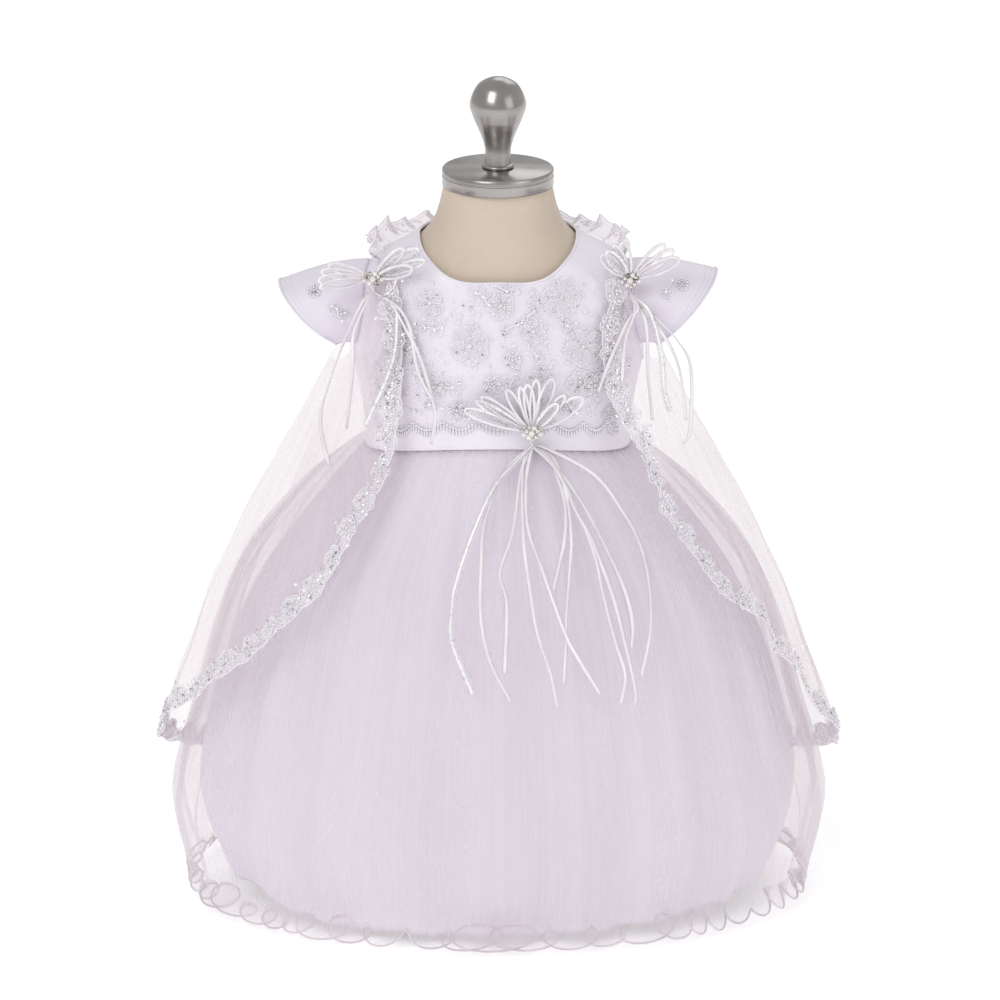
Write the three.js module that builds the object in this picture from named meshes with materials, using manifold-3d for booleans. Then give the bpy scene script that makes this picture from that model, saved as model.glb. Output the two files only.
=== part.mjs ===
// A baby's christening gown with its sheer shoulder cape, standing on a limbless dress form.
// Millimetres, +Z up, the front of the gown faces -Y. The origin is on the floor, at the centre
// of the form's round foot. Angles go round the body, from 0 at the front to 90 at +X. Left and right
// are as seen from the front.
import * as THREE from 'three';
import { mergeVertices } from 'three/addons/utils/BufferGeometryUtils.js';
import Module from 'manifold-3d';

const wasm = await Module();
wasm.setup();

const SEAM = 0.3;
const SQUARENESS = 2.15;

const FORM_SIDES = 28;
const FOOT_RADIUS = 104;
const FOOT_THICK = 8;
const POLE_RADIUS = 10;
const TORSO_BOTTOM = 245;
const TORSO_TOP = 505;
const CAP_RADIUS = 38;
const CAP_HEIGHT = 12;
const BALL_RADIUS = 19.2;
const BALL_HEIGHT = 561.5;
const STEM_RADIUS = 9.2;

const BODICE_WALL = 1.5;
const BODICE_SIDES = 36;
const REACH = 150;
const MID_HEIGHT = 400;
const LID_THICK = 2;
const ARMHOLE_SIDES = 20;
const WAIST_SIDE = 324;
const WAIST_FRONT_RISE = 14;
const WAIST_BACK_RISE = 6;
const NECK_HALF_WIDTH = 54;
const NECK_FRONT_DEPTH = 54;
const NECK_BACK_DEPTH = 48;
const NECK_FRONT_SQUARENESS = 3;
const ARMHOLE_CENTRE = 417;
const ARMHOLE_HALF_HEIGHT = 34;
const ARMHOLE_HALF_DEPTH = 27;

const SLEEVE_WALL = 1.2;
const SLEEVE_LIFT = { left: 0, right: 8 };
const SLEEVE_END_ANGLE = 118;
const SLEEVE_MARGIN = 1.5;
const SLEEVE_CROWN = 3;

const LACE_WALL = 1.0;
const LACE_GAP = 0.8;
const LACE_EDGE_ANGLE = 66;
const LACE_SCALLOPS = 9;
const LACE_SCALLOP_DEPTH = 6;
const LACE_ABOVE_WAIST = 10;

const SKIRT_DROP = 0.8;
const SATIN_WALL = 1.2;
const SATIN_FOLDS = 20;
const SATIN_HEM = 12;
const TULLE_WALL = 1.0;
const TULLE_GATHERS = 28;
const TULLE_HEM = 5;
const HEM_CURLS = 56;
const CURL_DEPTH = 8.5;

const CAPE_WALL = 1.0;
const CAPE_COLUMNS = 76;
const CAPE_FOLDS = 19;
const CAPE_FOLD_DEPTH = 7;
const TRIM_WALL = 1.0;
const TRIM_WIDTH = 15;
const TRIM_GAP = 0.9;
const TRIM_STEPS = 2;
const TRIM_PITCH = 32;
const SCALLOP_DEPTH = 2.6;

const COLLAR_WALL = 1.0;
const COLLAR_LIFT = 1.5;
const COLLAR_WAVES = 16;
const COLLAR_WAVE_DEPTH = 3.4;

const RIBBON_WIDTH = 2.6;
const RIBBON_THICK = 1.2;
const KNOT_RADIUS = 5;
const KNOT_STAND = 5.2;
const TAIL_CLEARANCE = 6;
const BROOCH_RADIUS = 6;
const BROOCH_GAP = 0.7;
const BUTTON_RADIUS = 4;
const BUTTON_FLATNESS = 0.4;
const BUTTON_HEIGHTS = [346, 387, 428];

// Half-width, front depth and back depth of the form's torso at each height.
const TORSO = [
  { height: 505, width: 37, front: 34, back: 34 },
  { height: 490, width: 40.5, front: 36, back: 37 },
  { height: 478, width: 45.5, front: 38, back: 41 },
  { height: 467, width: 56, front: 42, back: 45.5 },
  { height: 458, width: 72, front: 46, back: 49.5 },
  { height: 448, width: 85, front: 50, back: 53.5 },
  { height: 435, width: 92, front: 56, back: 58 },
  { height: 415, width: 94, front: 62, back: 62 },
  { height: 390, width: 95, front: 67, back: 65 },
  { height: 360, width: 91.5, front: 69, back: 65 },
  { height: 330, width: 88, front: 67.5, back: 65 },
  { height: 300, width: 90, front: 69, back: 68 },
  { height: 270, width: 94, front: 71, back: 72 },
  { height: 245, width: 95, front: 72, back: 74 },
];

// The outside of the bodice, which stands a little off the form.
const BODICE = [
  { height: 477, width: 45, front: 40.5, back: 44 },
  { height: 467, width: 62, front: 46.5, back: 50 },
  { height: 458, width: 79, front: 50.5, back: 54 },
  { height: 448, width: 90, front: 55, back: 58 },
  { height: 435, width: 96, front: 60, back: 62 },
  { height: 415, width: 99, front: 67, back: 66 },
  { height: 390, width: 100, front: 73, back: 69.5 },
  { height: 365, width: 95, front: 72, back: 69.5 },
  { height: 340, width: 91.5, front: 70.5, back: 69 },
  { height: 312, width: 91, front: 70, back: 69 },
];

// The skirts from the waist (0) to the hem (1): mean half-width and half-depth, and the depth of
// the gathers or folds there.
const TULLE = [
  { down: 0, width: 93, depth: 73, fold: 0.4 },
  { down: 0.05, width: 113, depth: 89, fold: 2 },
  { down: 0.12, width: 137, depth: 105, fold: 3.6 },
  { down: 0.25, width: 170.5, depth: 124.5, fold: 4.5 },
  { down: 0.38, width: 189.5, depth: 136.5, fold: 4.5 },
  { down: 0.57, width: 206.5, depth: 144.5, fold: 4.5 },
  { down: 0.79, width: 224.5, depth: 150.5, fold: 4.5 },
  { down: 0.94, width: 217, depth: 146, fold: 4 },
  { down: 1, width: 213, depth: 145, fold: 0 },
];
const SATIN = [
  { down: 0, width: 90.1, depth: 69.8, fold: 0.2 },
  { down: 0.12, width: 119, depth: 91, fold: 2 },
  { down: 0.3, width: 159, depth: 112, fold: 3.4 },
  { down: 0.55, width: 189, depth: 126, fold: 4.4 },
  { down: 0.8, width: 203, depth: 131, fold: 4.8 },
  { down: 0.92, width: 197, depth: 130, fold: 5 },
  { down: 1, width: 186, depth: 127, fold: 5 },
];

// The tent of the cape: half-width, front depth and back depth at each height.
const CAPE = [
  { height: 475, width: 55, front: 46, back: 50 },
  { height: 469.5, width: 65, front: 50, back: 54 },
  { height: 460.5, width: 82, front: 54, back: 58 },
  { height: 450, width: 93.5, front: 58.5, back: 67 },
  { height: 437, width: 99.5, front: 63.5, back: 74 },
  { height: 415, width: 103, front: 70.8, back: 78 },
  { height: 390, width: 112, front: 77, back: 81 },
  { height: 366, width: 124, front: 77.5, back: 84 },
  { height: 345, width: 135, front: 78.5, back: 89 },
  { height: 330, width: 143, front: 84, back: 94 },
  { height: 316, width: 151, front: 96, back: 100 },
  { height: 300, width: 159, front: 107, back: 109 },
  { height: 286, width: 167, front: 115, back: 116 },
  { height: 259, width: 180, front: 126, back: 130 },
  { height: 242, width: 187, front: 133, back: 138 },
  { height: 213, width: 200, front: 142, back: 147 },
  { height: 177, width: 211, front: 149, back: 153 },
  { height: 147, width: 222, front: 153, back: 156 },
  { height: 98, width: 234, front: 159, back: 160 },
  { height: 69, width: 237, front: 161, back: 162 },
  { height: 40, width: 237, front: 161, back: 162 },
];

// The cape's threads run from its top edge to its outer edge. Each row gives one of them, as an
// angle from the centre front and a height at both ends, from the shoulder round to centre back.
const CAPE_RIGHT = [
  { topAngle: 54, top: 455, edgeAngle: 50, edge: 442 },
  { topAngle: 57, top: 453, edgeAngle: 41, edge: 412 },
  { topAngle: 60, top: 450, edgeAngle: 38, edge: 366 },
  { topAngle: 61, top: 445, edgeAngle: 43, edge: 330 },
  { topAngle: 61, top: 437, edgeAngle: 44, edge: 284 },
  { topAngle: 61, top: 424, edgeAngle: 52, edge: 243 },
  { topAngle: 62, top: 410, edgeAngle: 62, edge: 215 },
  { topAngle: 66, top: 396, edgeAngle: 68, edge: 186 },
  { topAngle: 73, top: 389, edgeAngle: 73, edge: 162 },
  { topAngle: 82, top: 386, edgeAngle: 80, edge: 130 },
  { topAngle: 92, top: 386, edgeAngle: 91, edge: 105 },
  { topAngle: 105, top: 388, edgeAngle: 105, edge: 86 },
  { topAngle: 114, top: 397, edgeAngle: 120, edge: 70 },
  { topAngle: 120, top: 418, edgeAngle: 136, edge: 59 },
  { topAngle: 130, top: 440, edgeAngle: 151, edge: 54 },
  { topAngle: 150, top: 456, edgeAngle: 166, edge: 52 },
  { topAngle: 180, top: 461, edgeAngle: 180, edge: 51 },
];
const CAPE_LEFT = [
  { topAngle: 50, top: 456, edgeAngle: 42, edge: 444 },
  { topAngle: 55, top: 454, edgeAngle: 37, edge: 412 },
  { topAngle: 58, top: 451, edgeAngle: 31, edge: 366 },
  { topAngle: 60, top: 446, edgeAngle: 29, edge: 330 },
  { topAngle: 61, top: 438, edgeAngle: 32, edge: 300 },
  { topAngle: 61, top: 424, edgeAngle: 38, edge: 254 },
  { topAngle: 62, top: 410, edgeAngle: 46, edge: 219 },
  { topAngle: 66, top: 396, edgeAngle: 56, edge: 190 },
  { topAngle: 73, top: 389, edgeAngle: 66, edge: 165 },
  { topAngle: 82, top: 386, edgeAngle: 77, edge: 141 },
  { topAngle: 92, top: 386, edgeAngle: 90, edge: 115 },
  { topAngle: 105, top: 388, edgeAngle: 104, edge: 91 },
  { topAngle: 114, top: 397, edgeAngle: 120, edge: 71 },
  { topAngle: 120, top: 418, edgeAngle: 136, edge: 59 },
  { topAngle: 130, top: 440, edgeAngle: 151, edge: 54 },
  { topAngle: 150, top: 456, edgeAngle: 166, edge: 52 },
  { topAngle: 180, top: 461, edgeAngle: 180, edge: 51 },
];
// How far down each thread the rows of the cape's mesh lie, above the row that carries the trim.
const CAPE_ROWS = [0, 0.1, 0.26, 0.44, 0.62, 0.8];

// The free hem of a cap sleeve, from its top (0) to its lower end at the front or the back.
const SLEEVE_HEM = [
  { angle: 0, out: 150, forward: 3, height: 438 },
  { angle: 30, out: 146, forward: 21, height: 433 },
  { angle: 60, out: 135, forward: 33, height: 421 },
  { angle: 90, out: 122, forward: 37, height: 410 },
  { angle: 118, out: 110, forward: 33, height: 401 },
];

// The ruffled collar: its foot on the shoulders and round the back of the neck, and how far its
// crest rises and leans out from there.
const COLLAR = [
  { angle: 60, height: 454, rise: 10, lean: 6 },
  { angle: 78, height: 456.5, rise: 13, lean: 7 },
  { angle: 95, height: 459, rise: 12, lean: 9 },
  { angle: 120, height: 464, rise: 6, lean: 11 },
  { angle: 150, height: 467, rise: 2.5, lean: 12 },
  { angle: 180, height: 468, rise: 2, lean: 12 },
];

const point = (x, y, z) => new THREE.Vector3(x, y, z);
const radians = THREE.MathUtils.degToRad;
const lerp = THREE.MathUtils.lerp;

// The value of a column of a table at a place between its rows, on a smooth curve.
function read(table, key, column, at) {
  const rows = table[0][key] < table[table.length - 1][key] ? table : [...table].reverse();
  const last = rows.length - 1;
  let i = 0;
  while (i < last - 1 && at > rows[i + 1][key]) i += 1;
  const slope = (j) => {
    const low = rows[Math.max(j - 1, 0)];
    const high = rows[Math.min(j + 1, last)];
    return (high[column] - low[column]) / (high[key] - low[key]);
  };
  const span = rows[i + 1][key] - rows[i][key];
  const s = THREE.MathUtils.clamp((at - rows[i][key]) / span, 0, 1);
  const rest = 1 - s;
  return rows[i][column] * rest * rest * (1 + 2 * s) + slope(i) * span * rest * rest * s
    + rows[i + 1][column] * s * s * (3 - 2 * s) - slope(i + 1) * span * s * s * rest;
}

// A point of the body's rounded section, at an angle in degrees from the centre front.
function onSection(width, front, back, degrees, height) {
  const power = 2 / SQUARENESS;
  const across = Math.sin(radians(degrees));
  const ahead = Math.cos(radians(degrees));
  const depth = ahead > 0 ? front : back;
  return point(
    width * Math.sign(across) * Math.abs(across) ** power,
    -depth * Math.sign(ahead) * Math.abs(ahead) ** power,
    height,
  );
}

function onTable(table, degrees, height) {
  const size = (column) => read(table, 'height', column, height);
  return onSection(size('width'), size('front'), size('back'), degrees, height);
}

// The same, moved straight out from the surface by a distance.
function offTable(table, degrees, height, distance) {
  const step = 0.5;
  const p = onTable(table, degrees, height);
  const round = onTable(table, degrees + step, height).sub(onTable(table, degrees - step, height));
  const up = onTable(table, degrees, height + step).sub(onTable(table, degrees, height - step));
  return p.addScaledVector(round.cross(up).normalize(), distance);
}

function waistHeight(degrees) {
  const ahead = Math.cos(radians(degrees));
  return WAIST_SIDE + (ahead > 0 ? WAIST_FRONT_RISE : WAIST_BACK_RISE) * ahead * ahead;
}

// Triangles between two rows of points, seen from outside with the first row on top. The lower
// row has as many steps as the upper one, or twice as many.
function stitch(upper, lower) {
  const faces = [];
  const doubled = lower.length > upper.length;
  for (let j = 0; j < upper.length - 1; j += 1) {
    if (doubled) {
      faces.push([upper[j], lower[2 * j], lower[2 * j + 1]]);
      faces.push([upper[j], lower[2 * j + 1], upper[j + 1]]);
      faces.push([upper[j + 1], lower[2 * j + 1], lower[2 * j + 2]]);
    } else if (upper[j].distanceTo(lower[j + 1]) <= upper[j + 1].distanceTo(lower[j])) {
      faces.push([upper[j], lower[j], lower[j + 1]]);
      faces.push([upper[j], lower[j + 1], upper[j + 1]]);
    } else {
      faces.push([upper[j], lower[j], upper[j + 1]]);
      faces.push([lower[j], lower[j + 1], upper[j + 1]]);
    }
  }
  return faces;
}

function stitchRows(rows) {
  return rows.slice(1).flatMap((row, i) => stitch(rows[i], row));
}

function toGeometry(faces) {
  const numbers = faces.flatMap((face) => face.flatMap((corner) => corner.toArray()));
  const loose = new THREE.BufferGeometry();
  loose.setAttribute('position', new THREE.Float32BufferAttribute(numbers, 3));
  return mergeVertices(loose, 1e-4);
}

// The rows moved inwards by the wall's thickness, along the normals of the outer sheet.
function insideOf(rows, thickness) {
  const normals = new Map();
  const keyOf = (p) => `${p.x.toFixed(4)},${p.y.toFixed(4)},${p.z.toFixed(4)}`;
  for (const [a, b, c] of stitchRows(rows)) {
    const normal = b.clone().sub(a).cross(c.clone().sub(a));
    for (const corner of [a, b, c]) {
      const key = keyOf(corner);
      normals.set(key, (normals.get(key) ?? point(0, 0, 0)).add(normal));
    }
  }
  return rows.map((row) => row.map((p) => {
    const normal = normals.get(keyOf(p)).clone().normalize();
    return p.clone().addScaledVector(normal, -thickness);
  }));
}

// A closed wall between an outer and an inner sheet, with a rim along all four edges.
function wallBetween(outer, inner) {
  const last = outer.length - 1;
  const flip = (faces) => faces.map(([a, b, c]) => [a, c, b]);
  const side = (pick) => [outer.map(pick), inner.map(pick)];
  const [leftOuter, leftInner] = side((row) => row[0]);
  const [rightOuter, rightInner] = side((row) => row[row.length - 1]);
  return toGeometry([
    ...stitchRows(outer),
    ...flip(stitchRows(inner)),
    ...stitch(inner[0], outer[0]),
    ...stitch(outer[last], inner[last]),
    ...stitch(leftOuter, leftInner),
    ...stitch(rightInner, rightOuter),
  ]);
}

function clothWall(outer, thickness) {
  return wallBetween(outer, insideOf(outer, thickness));
}

// A closed body through rings that go round the same way from the bottom to the top.
function loft(rings) {
  const top = rings[rings.length - 1];
  const faces = stitchRows([...rings].reverse());
  const centreOf = (ring) => ring.slice(1).reduce((sum, p) => sum.add(p), point(0, 0, 0))
    .divideScalar(ring.length - 1);
  const low = centreOf(rings[0]);
  const high = centreOf(top);
  for (let j = 0; j < top.length - 1; j += 1) {
    faces.push([low, rings[0][j + 1], rings[0][j]]);
    faces.push([high, top[j], top[j + 1]]);
  }
  return toGeometry(faces);
}

// A ring of points, closed by its first point again.
function ring(sides, place) {
  const points = [];
  for (let j = 0; j < sides; j += 1) points.push(place((360 * j) / sides));
  return [...points, points[0]];
}

function toSolid(geometry) {
  const bare = new THREE.BufferGeometry();
  const source = geometry.clone();
  source.deleteAttribute('normal');
  source.deleteAttribute('uv');
  const merged = mergeVertices(source, 1e-4);
  bare.setAttribute('position', merged.getAttribute('position'));
  return new wasm.Manifold(new wasm.Mesh({
    numProp: 3,
    vertProperties: Float32Array.from(bare.getAttribute('position').array),
    triVerts: Uint32Array.from(merged.index.array),
  }));
}

function fromSolid(solid) {
  const mesh = solid.getMesh();
  const geometry = new THREE.BufferGeometry();
  geometry.setAttribute('position', new THREE.BufferAttribute(mesh.vertProperties, 3));
  geometry.setIndex(new THREE.BufferAttribute(mesh.triVerts, 1));
  return geometry;
}

const finish = (color, roughness, metalness = 0) => (
  new THREE.MeshStandardMaterial({ color, roughness, metalness })
);
const FINISHES = {
  linen: finish(0xd8c9b4, 0.9),
  steel: finish(0xb4b0ab, 0.28, 1),
  satin: finish(0xe6e2f2, 0.45),
  tulle: finish(0xf3edf6, 0.85),
  lace: finish(0xecebf5, 0.7),
  ribbon: finish(0xf4f2fa, 0.35),
  pearl: finish(0xf1ece6, 0.2),
};

const gown = new THREE.Group();
gown.name = 'christening_gown_on_dress_form';

function add(name, geometry, material) {
  const mesh = new THREE.Mesh(geometry, material);
  mesh.name = name;
  geometry.computeVertexNormals();
  gown.add(mesh);
}

// The dress form: a round foot, a pole, a torso without limbs, a neck cap and a finial.
function addForm() {
  const foot = new THREE.CylinderGeometry(FOOT_RADIUS, FOOT_RADIUS, FOOT_THICK, FORM_SIDES);
  foot.rotateX(Math.PI / 2).translate(0, 0, FOOT_THICK / 2);
  add('form_foot', foot, FINISHES.steel);
  const poleLength = TORSO_BOTTOM - FOOT_THICK - 2 * SEAM;
  const pole = new THREE.CylinderGeometry(POLE_RADIUS, POLE_RADIUS, poleLength, FORM_SIDES / 2);
  pole.rotateX(Math.PI / 2).translate(0, 0, FOOT_THICK + SEAM + poleLength / 2);
  add('form_pole', pole, FINISHES.steel);
  const rings = [...TORSO].reverse().map((row) => (
    ring(FORM_SIDES, (angle) => onTable(TORSO, angle, row.height))
  ));
  add('form_torso', loft(rings), FINISHES.linen);
  const cap = new THREE.CylinderGeometry(CAP_RADIUS, CAP_RADIUS, CAP_HEIGHT, FORM_SIDES);
  cap.rotateX(Math.PI / 2).translate(0, 0, TORSO_TOP + SEAM + CAP_HEIGHT / 2);
  add('form_neck_cap', cap, FINISHES.steel);
  add('form_finial', finialGeometry(), FINISHES.steel);
}

// A ball that runs down into a slender stem, turned in one piece.
function finialGeometry() {
  const foot = TORSO_TOP + CAP_HEIGHT + 2 * SEAM;
  const profile = new THREE.SplineCurve([
    new THREE.Vector2(STEM_RADIUS, foot),
    new THREE.Vector2(STEM_RADIUS - 0.4, foot + 12),
    new THREE.Vector2(STEM_RADIUS + 2.2, foot + 22),
    new THREE.Vector2(BALL_RADIUS - 2.4, BALL_HEIGHT - 9),
    new THREE.Vector2(BALL_RADIUS, BALL_HEIGHT + 1),
    new THREE.Vector2(BALL_RADIUS - 4.6, BALL_HEIGHT + 12.5),
    new THREE.Vector2(BALL_RADIUS - 12, BALL_HEIGHT + 17.8),
  ]).getPoints(10);
  const closed = [
    new THREE.Vector2(0, foot),
    ...profile,
    new THREE.Vector2(0, BALL_HEIGHT + BALL_RADIUS),
  ];
  const geometry = new THREE.LatheGeometry(closed, 20).rotateX(Math.PI / 2);
  geometry.deleteAttribute('normal');
  geometry.deleteAttribute('uv');
  return mergeVertices(geometry, 1e-4);
}

// The bodice is one hollow shell, open at the waist, the neck and the armholes, which is then
// cut along its side, shoulder and centre back seams.
function bodicePanels() {
  const heights = BODICE.map((row) => row.height).reverse();
  const outerRows = [...heights].reverse().map((height) => (
    ring(BODICE_SIDES, (angle) => onTable(BODICE, angle, height))
  ));
  const shell = toSolid(loft([...outerRows].reverse()));
  const hollow = toSolid(loft([...insideOfRing(outerRows, BODICE_WALL)].reverse()));
  const box = (x, y, height, tall) => (
    toSolid(new THREE.BoxGeometry(2 * REACH, 2 * REACH, tall).translate(x, y, height))
  );
  const lid = box(0, 0, BODICE[0].height, LID_THICK);
  const neckRing = (height) => ring(BODICE_SIDES, (angle) => {
    const across = Math.sin(radians(angle));
    const ahead = Math.cos(radians(angle));
    if (ahead <= 0) return point(NECK_HALF_WIDTH * across, -NECK_BACK_DEPTH * ahead, height);
    const power = 2 / NECK_FRONT_SQUARENESS;
    const x = NECK_HALF_WIDTH * Math.sign(across) * Math.abs(across) ** power;
    return point(x, -NECK_FRONT_DEPTH * ahead ** power, height);
  });
  const neck = toSolid(loft([neckRing(MID_HEIGHT), neckRing(TORSO_TOP)]));
  const armholes = new THREE.CylinderGeometry(1, 1, 4 * REACH, ARMHOLE_SIDES);
  armholes.rotateZ(Math.PI / 2).scale(1, ARMHOLE_HALF_DEPTH, ARMHOLE_HALF_HEIGHT);
  armholes.translate(0, 0, ARMHOLE_CENTRE);
  const whole = shell.subtract(hollow).subtract(lid).subtract(neck)
    .subtract(toSolid(armholes)).subtract(belowWaist());
  const shift = REACH + SEAM / 2;
  const front = whole.intersect(box(0, -shift, MID_HEIGHT, 2 * REACH));
  const behind = (side) => whole.intersect(box(side * shift, shift, MID_HEIGHT, 2 * REACH));
  return { front, backLeft: behind(-1), backRight: behind(1) };
}

// As insideOf, for rows that close on themselves, where both ends share one normal.
function insideOfRing(rows, thickness) {
  const wrapped = rows.map((row) => {
    const step = (row.length - 1) / (rows[0].length - 1);
    return [...row.slice(-1 - step, -1), ...row, ...row.slice(1, 1 + step)];
  });
  return insideOf(wrapped, thickness).map((row, i) => {
    const step = (rows[i].length - 1) / (rows[0].length - 1);
    return row.slice(step, row.length - step);
  });
}

// All that lies under the waist seam, which arches a little over the front.
function belowWaist() {
  const { width, front } = BODICE[BODICE.length - 1];
  const level = (scale, heightAt) => ring(BODICE_SIDES, (angle) => (
    onSection(width * scale, front * scale, front * scale, angle, heightAt(angle))
  ));
  const [wide, narrow] = [1.5, 0.5];
  const under = BODICE[BODICE.length - 1].height - 10;
  return toSolid(loft([level(wide, () => under), level(wide, waistHeight), level(narrow, waistHeight)]));
}

function addBodice() {
  const panels = bodicePanels();
  add('bodice_front', fromSolid(panels.front), FINISHES.satin);
  add('bodice_back_left', fromSolid(panels.backLeft), FINISHES.satin);
  add('bodice_back_right', fromSolid(panels.backRight), FINISHES.satin);
  BUTTON_HEIGHTS.forEach((height, i) => {
    const button = new THREE.SphereGeometry(BUTTON_RADIUS, 8, 5).scale(1, BUTTON_FLATNESS, 1);
    const depth = read(BODICE, 'height', 'back', height);
    const stand = BUTTON_RADIUS * BUTTON_FLATNESS + SEAM;
    button.translate(BUTTON_RADIUS + 1, depth + stand, height);
    add(`back_button_${i + 1}`, toSolidGeometry(button), FINISHES.pearl);
  });
}

function toSolidGeometry(geometry) {
  return fromSolid(toSolid(geometry));
}

// A stiff cap sleeve: from the armhole seam out to its free hem, open underneath.
function addSleeve(name, side) {
  const lift = SLEEVE_LIFT[name];
  const columns = 12;
  const depths = [0, 0.34, 0.68, 1];
  const rows = depths.map((out) => {
    const row = [];
    for (let j = 0; j <= columns; j += 1) {
      const angle = lerp(-SLEEVE_END_ANGLE, SLEEVE_END_ANGLE, j / columns) * side;
      row.push(sleevePoint(angle, out, side, lift));
    }
    return row;
  });
  add(`sleeve_${name}`, clothWall(rows, SLEEVE_WALL), FINISHES.satin);
}

function sleevePoint(angle, out, side, lift) {
  const turn = Math.abs(angle);
  const y = (ARMHOLE_HALF_DEPTH + SLEEVE_MARGIN) * Math.sin(radians(angle));
  const z = ARMHOLE_CENTRE + (ARMHOLE_HALF_HEIGHT + SLEEVE_MARGIN) * Math.cos(radians(angle));
  const width = read(BODICE, 'height', 'width', z);
  const depth = read(BODICE, 'height', y < 0 ? 'front' : 'back', z);
  const share = Math.abs(y / depth) ** SQUARENESS;
  const root = point(width * (1 - share) ** (1 / SQUARENESS) + SLEEVE_WALL + SEAM + 0.5, y, z);
  const raise = lift * Math.cos(radians(turn * 0.75));
  const hem = point(
    read(SLEEVE_HEM, 'angle', 'out', turn),
    Math.sign(angle) * read(SLEEVE_HEM, 'angle', 'forward', turn) - 3 * Math.cos(radians(turn)),
    read(SLEEVE_HEM, 'angle', 'height', turn) + raise,
  );
  const crown = SLEEVE_CROWN * Math.sin(Math.PI * out) * Math.cos(radians(turn * 0.6));
  const p = root.lerp(hem, out).add(point(0, 0, crown));
  p.x *= side;
  return p;
}

// The lace laid over the bodice front, with scallops above a plain band at the waist.
function addBodiceLace() {
  const columns = LACE_SCALLOPS * 3;
  const levels = [0, 0.12, 0.26, 0.42, 0.6, 0.8, 1];
  const sheet = (outward) => levels.map((down) => {
    const row = [];
    for (let j = 0; j <= columns; j += 1) {
      const across = (2 * j) / columns - 1;
      const angle = across * LACE_EDGE_ANGLE;
      const phase = (j % 3) / 3;
      const scallop = LACE_SCALLOP_DEPTH * Math.sin(Math.PI * phase);
      const low = waistHeight(angle) + LACE_ABOVE_WAIST + LACE_SCALLOP_DEPTH - scallop;
      row.push(offTable(BODICE, angle, lerp(laceTop(angle), low, down), outward));
    }
    return row;
  });
  add('bodice_lace', wallBetween(sheet(LACE_GAP + LACE_WALL), sheet(LACE_GAP)), FINISHES.lace);
}

// The lace reaches the neckline in the middle and runs down in front of the armholes.
function laceTop(angle) {
  const turn = Math.abs(angle);
  if (turn < 46) return 449 + 6 * (turn / 46) ** 2;
  return lerp(455, 396, THREE.MathUtils.smoothstep(turn, 46, 61));
}

// Rows of a skirt from the waist seam to the hem, closed all round.
function skirtRows(table, drops, wave) {
  return drops.map(({ down, sides }) => ring(sides, (angle) => {
    const size = (column) => read(table, 'down', column, down);
    const { height, out } = wave(angle, down, size('fold'));
    const width = size('width') + out;
    const depth = size('depth') + out;
    return onSection(width, depth, depth, angle, height);
  }));
}

// A skirt is cut as a front and a back, joined at the sides by seams.
function addSkirt(name, rows, thickness, material) {
  const inner = insideOfRing(rows, thickness);
  const half = (sheet, start, shift) => sheet.map((row) => {
    const sides = row.length - 1;
    const first = sides * start;
    const points = [];
    for (let j = 0; j <= sides / 2; j += 1) points.push(row[(first + j) % sides].clone());
    points[0].y += shift;
    points[points.length - 1].y += shift;
    return points;
  });
  const panel = (start, shift) => wallBetween(half(rows, start, shift), half(inner, start, shift));
  add(`${name}_front`, panel(0.75, -SEAM / 2), material);
  add(`${name}_back`, panel(0.25, SEAM / 2), material);
}

function satinWave(angle, down, fold) {
  const turn = radians(angle);
  const wave = Math.cos(SATIN_FOLDS * turn) * (0.8 + 0.2 * Math.sin(3 * turn));
  const hem = SATIN_HEM + 2.5 * Math.cos(7 * turn + 0.6);
  const height = lerp(waistHeight(angle) - SKIRT_DROP, hem, down);
  return { height, out: fold * wave };
}

function tulleWave(angle, down, fold) {
  const turn = radians(angle);
  const gather = fold * Math.cos(TULLE_GATHERS * turn) * (0.85 + 0.15 * Math.sin(5 * turn));
  const curl = THREE.MathUtils.smoothstep(down, 0.93, 1);
  const loop = CURL_DEPTH * curl * Math.sin(HEM_CURLS * turn);
  const flick = 3 * curl * (1 - Math.cos(HEM_CURLS * turn)) * 0.5;
  const hem = TULLE_HEM + flick + 2 * Math.sin(turn) ** 2;
  const height = lerp(waistHeight(angle) - SKIRT_DROP, hem, down);
  return { height, out: gather + loop };
}

function addSkirts() {
  const satin = skirtRows(SATIN, [
    { down: 0, sides: 40 }, { down: 0.12, sides: 40 }, { down: 0.3, sides: 40 },
    { down: 0.55, sides: 40 }, { down: 0.8, sides: 80 }, { down: 0.92, sides: 80 },
    { down: 1, sides: 80 },
  ], satinWave);
  addSkirt('skirt_satin', satin, SATIN_WALL, FINISHES.satin);
  const tulle = skirtRows(TULLE, [
    { down: 0, sides: 56 }, { down: 0.05, sides: 56 }, { down: 0.12, sides: 56 },
    { down: 0.25, sides: 56 }, { down: 0.4, sides: 56 }, { down: 0.6, sides: 56 },
    { down: 0.79, sides: 56 }, { down: 0.9, sides: 112 }, { down: 0.955, sides: 224 },
    { down: 1, sides: 224 },
  ], tulleWave);
  addSkirt('skirt_tulle', tulle, TULLE_WALL, FINISHES.tulle);
}

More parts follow.
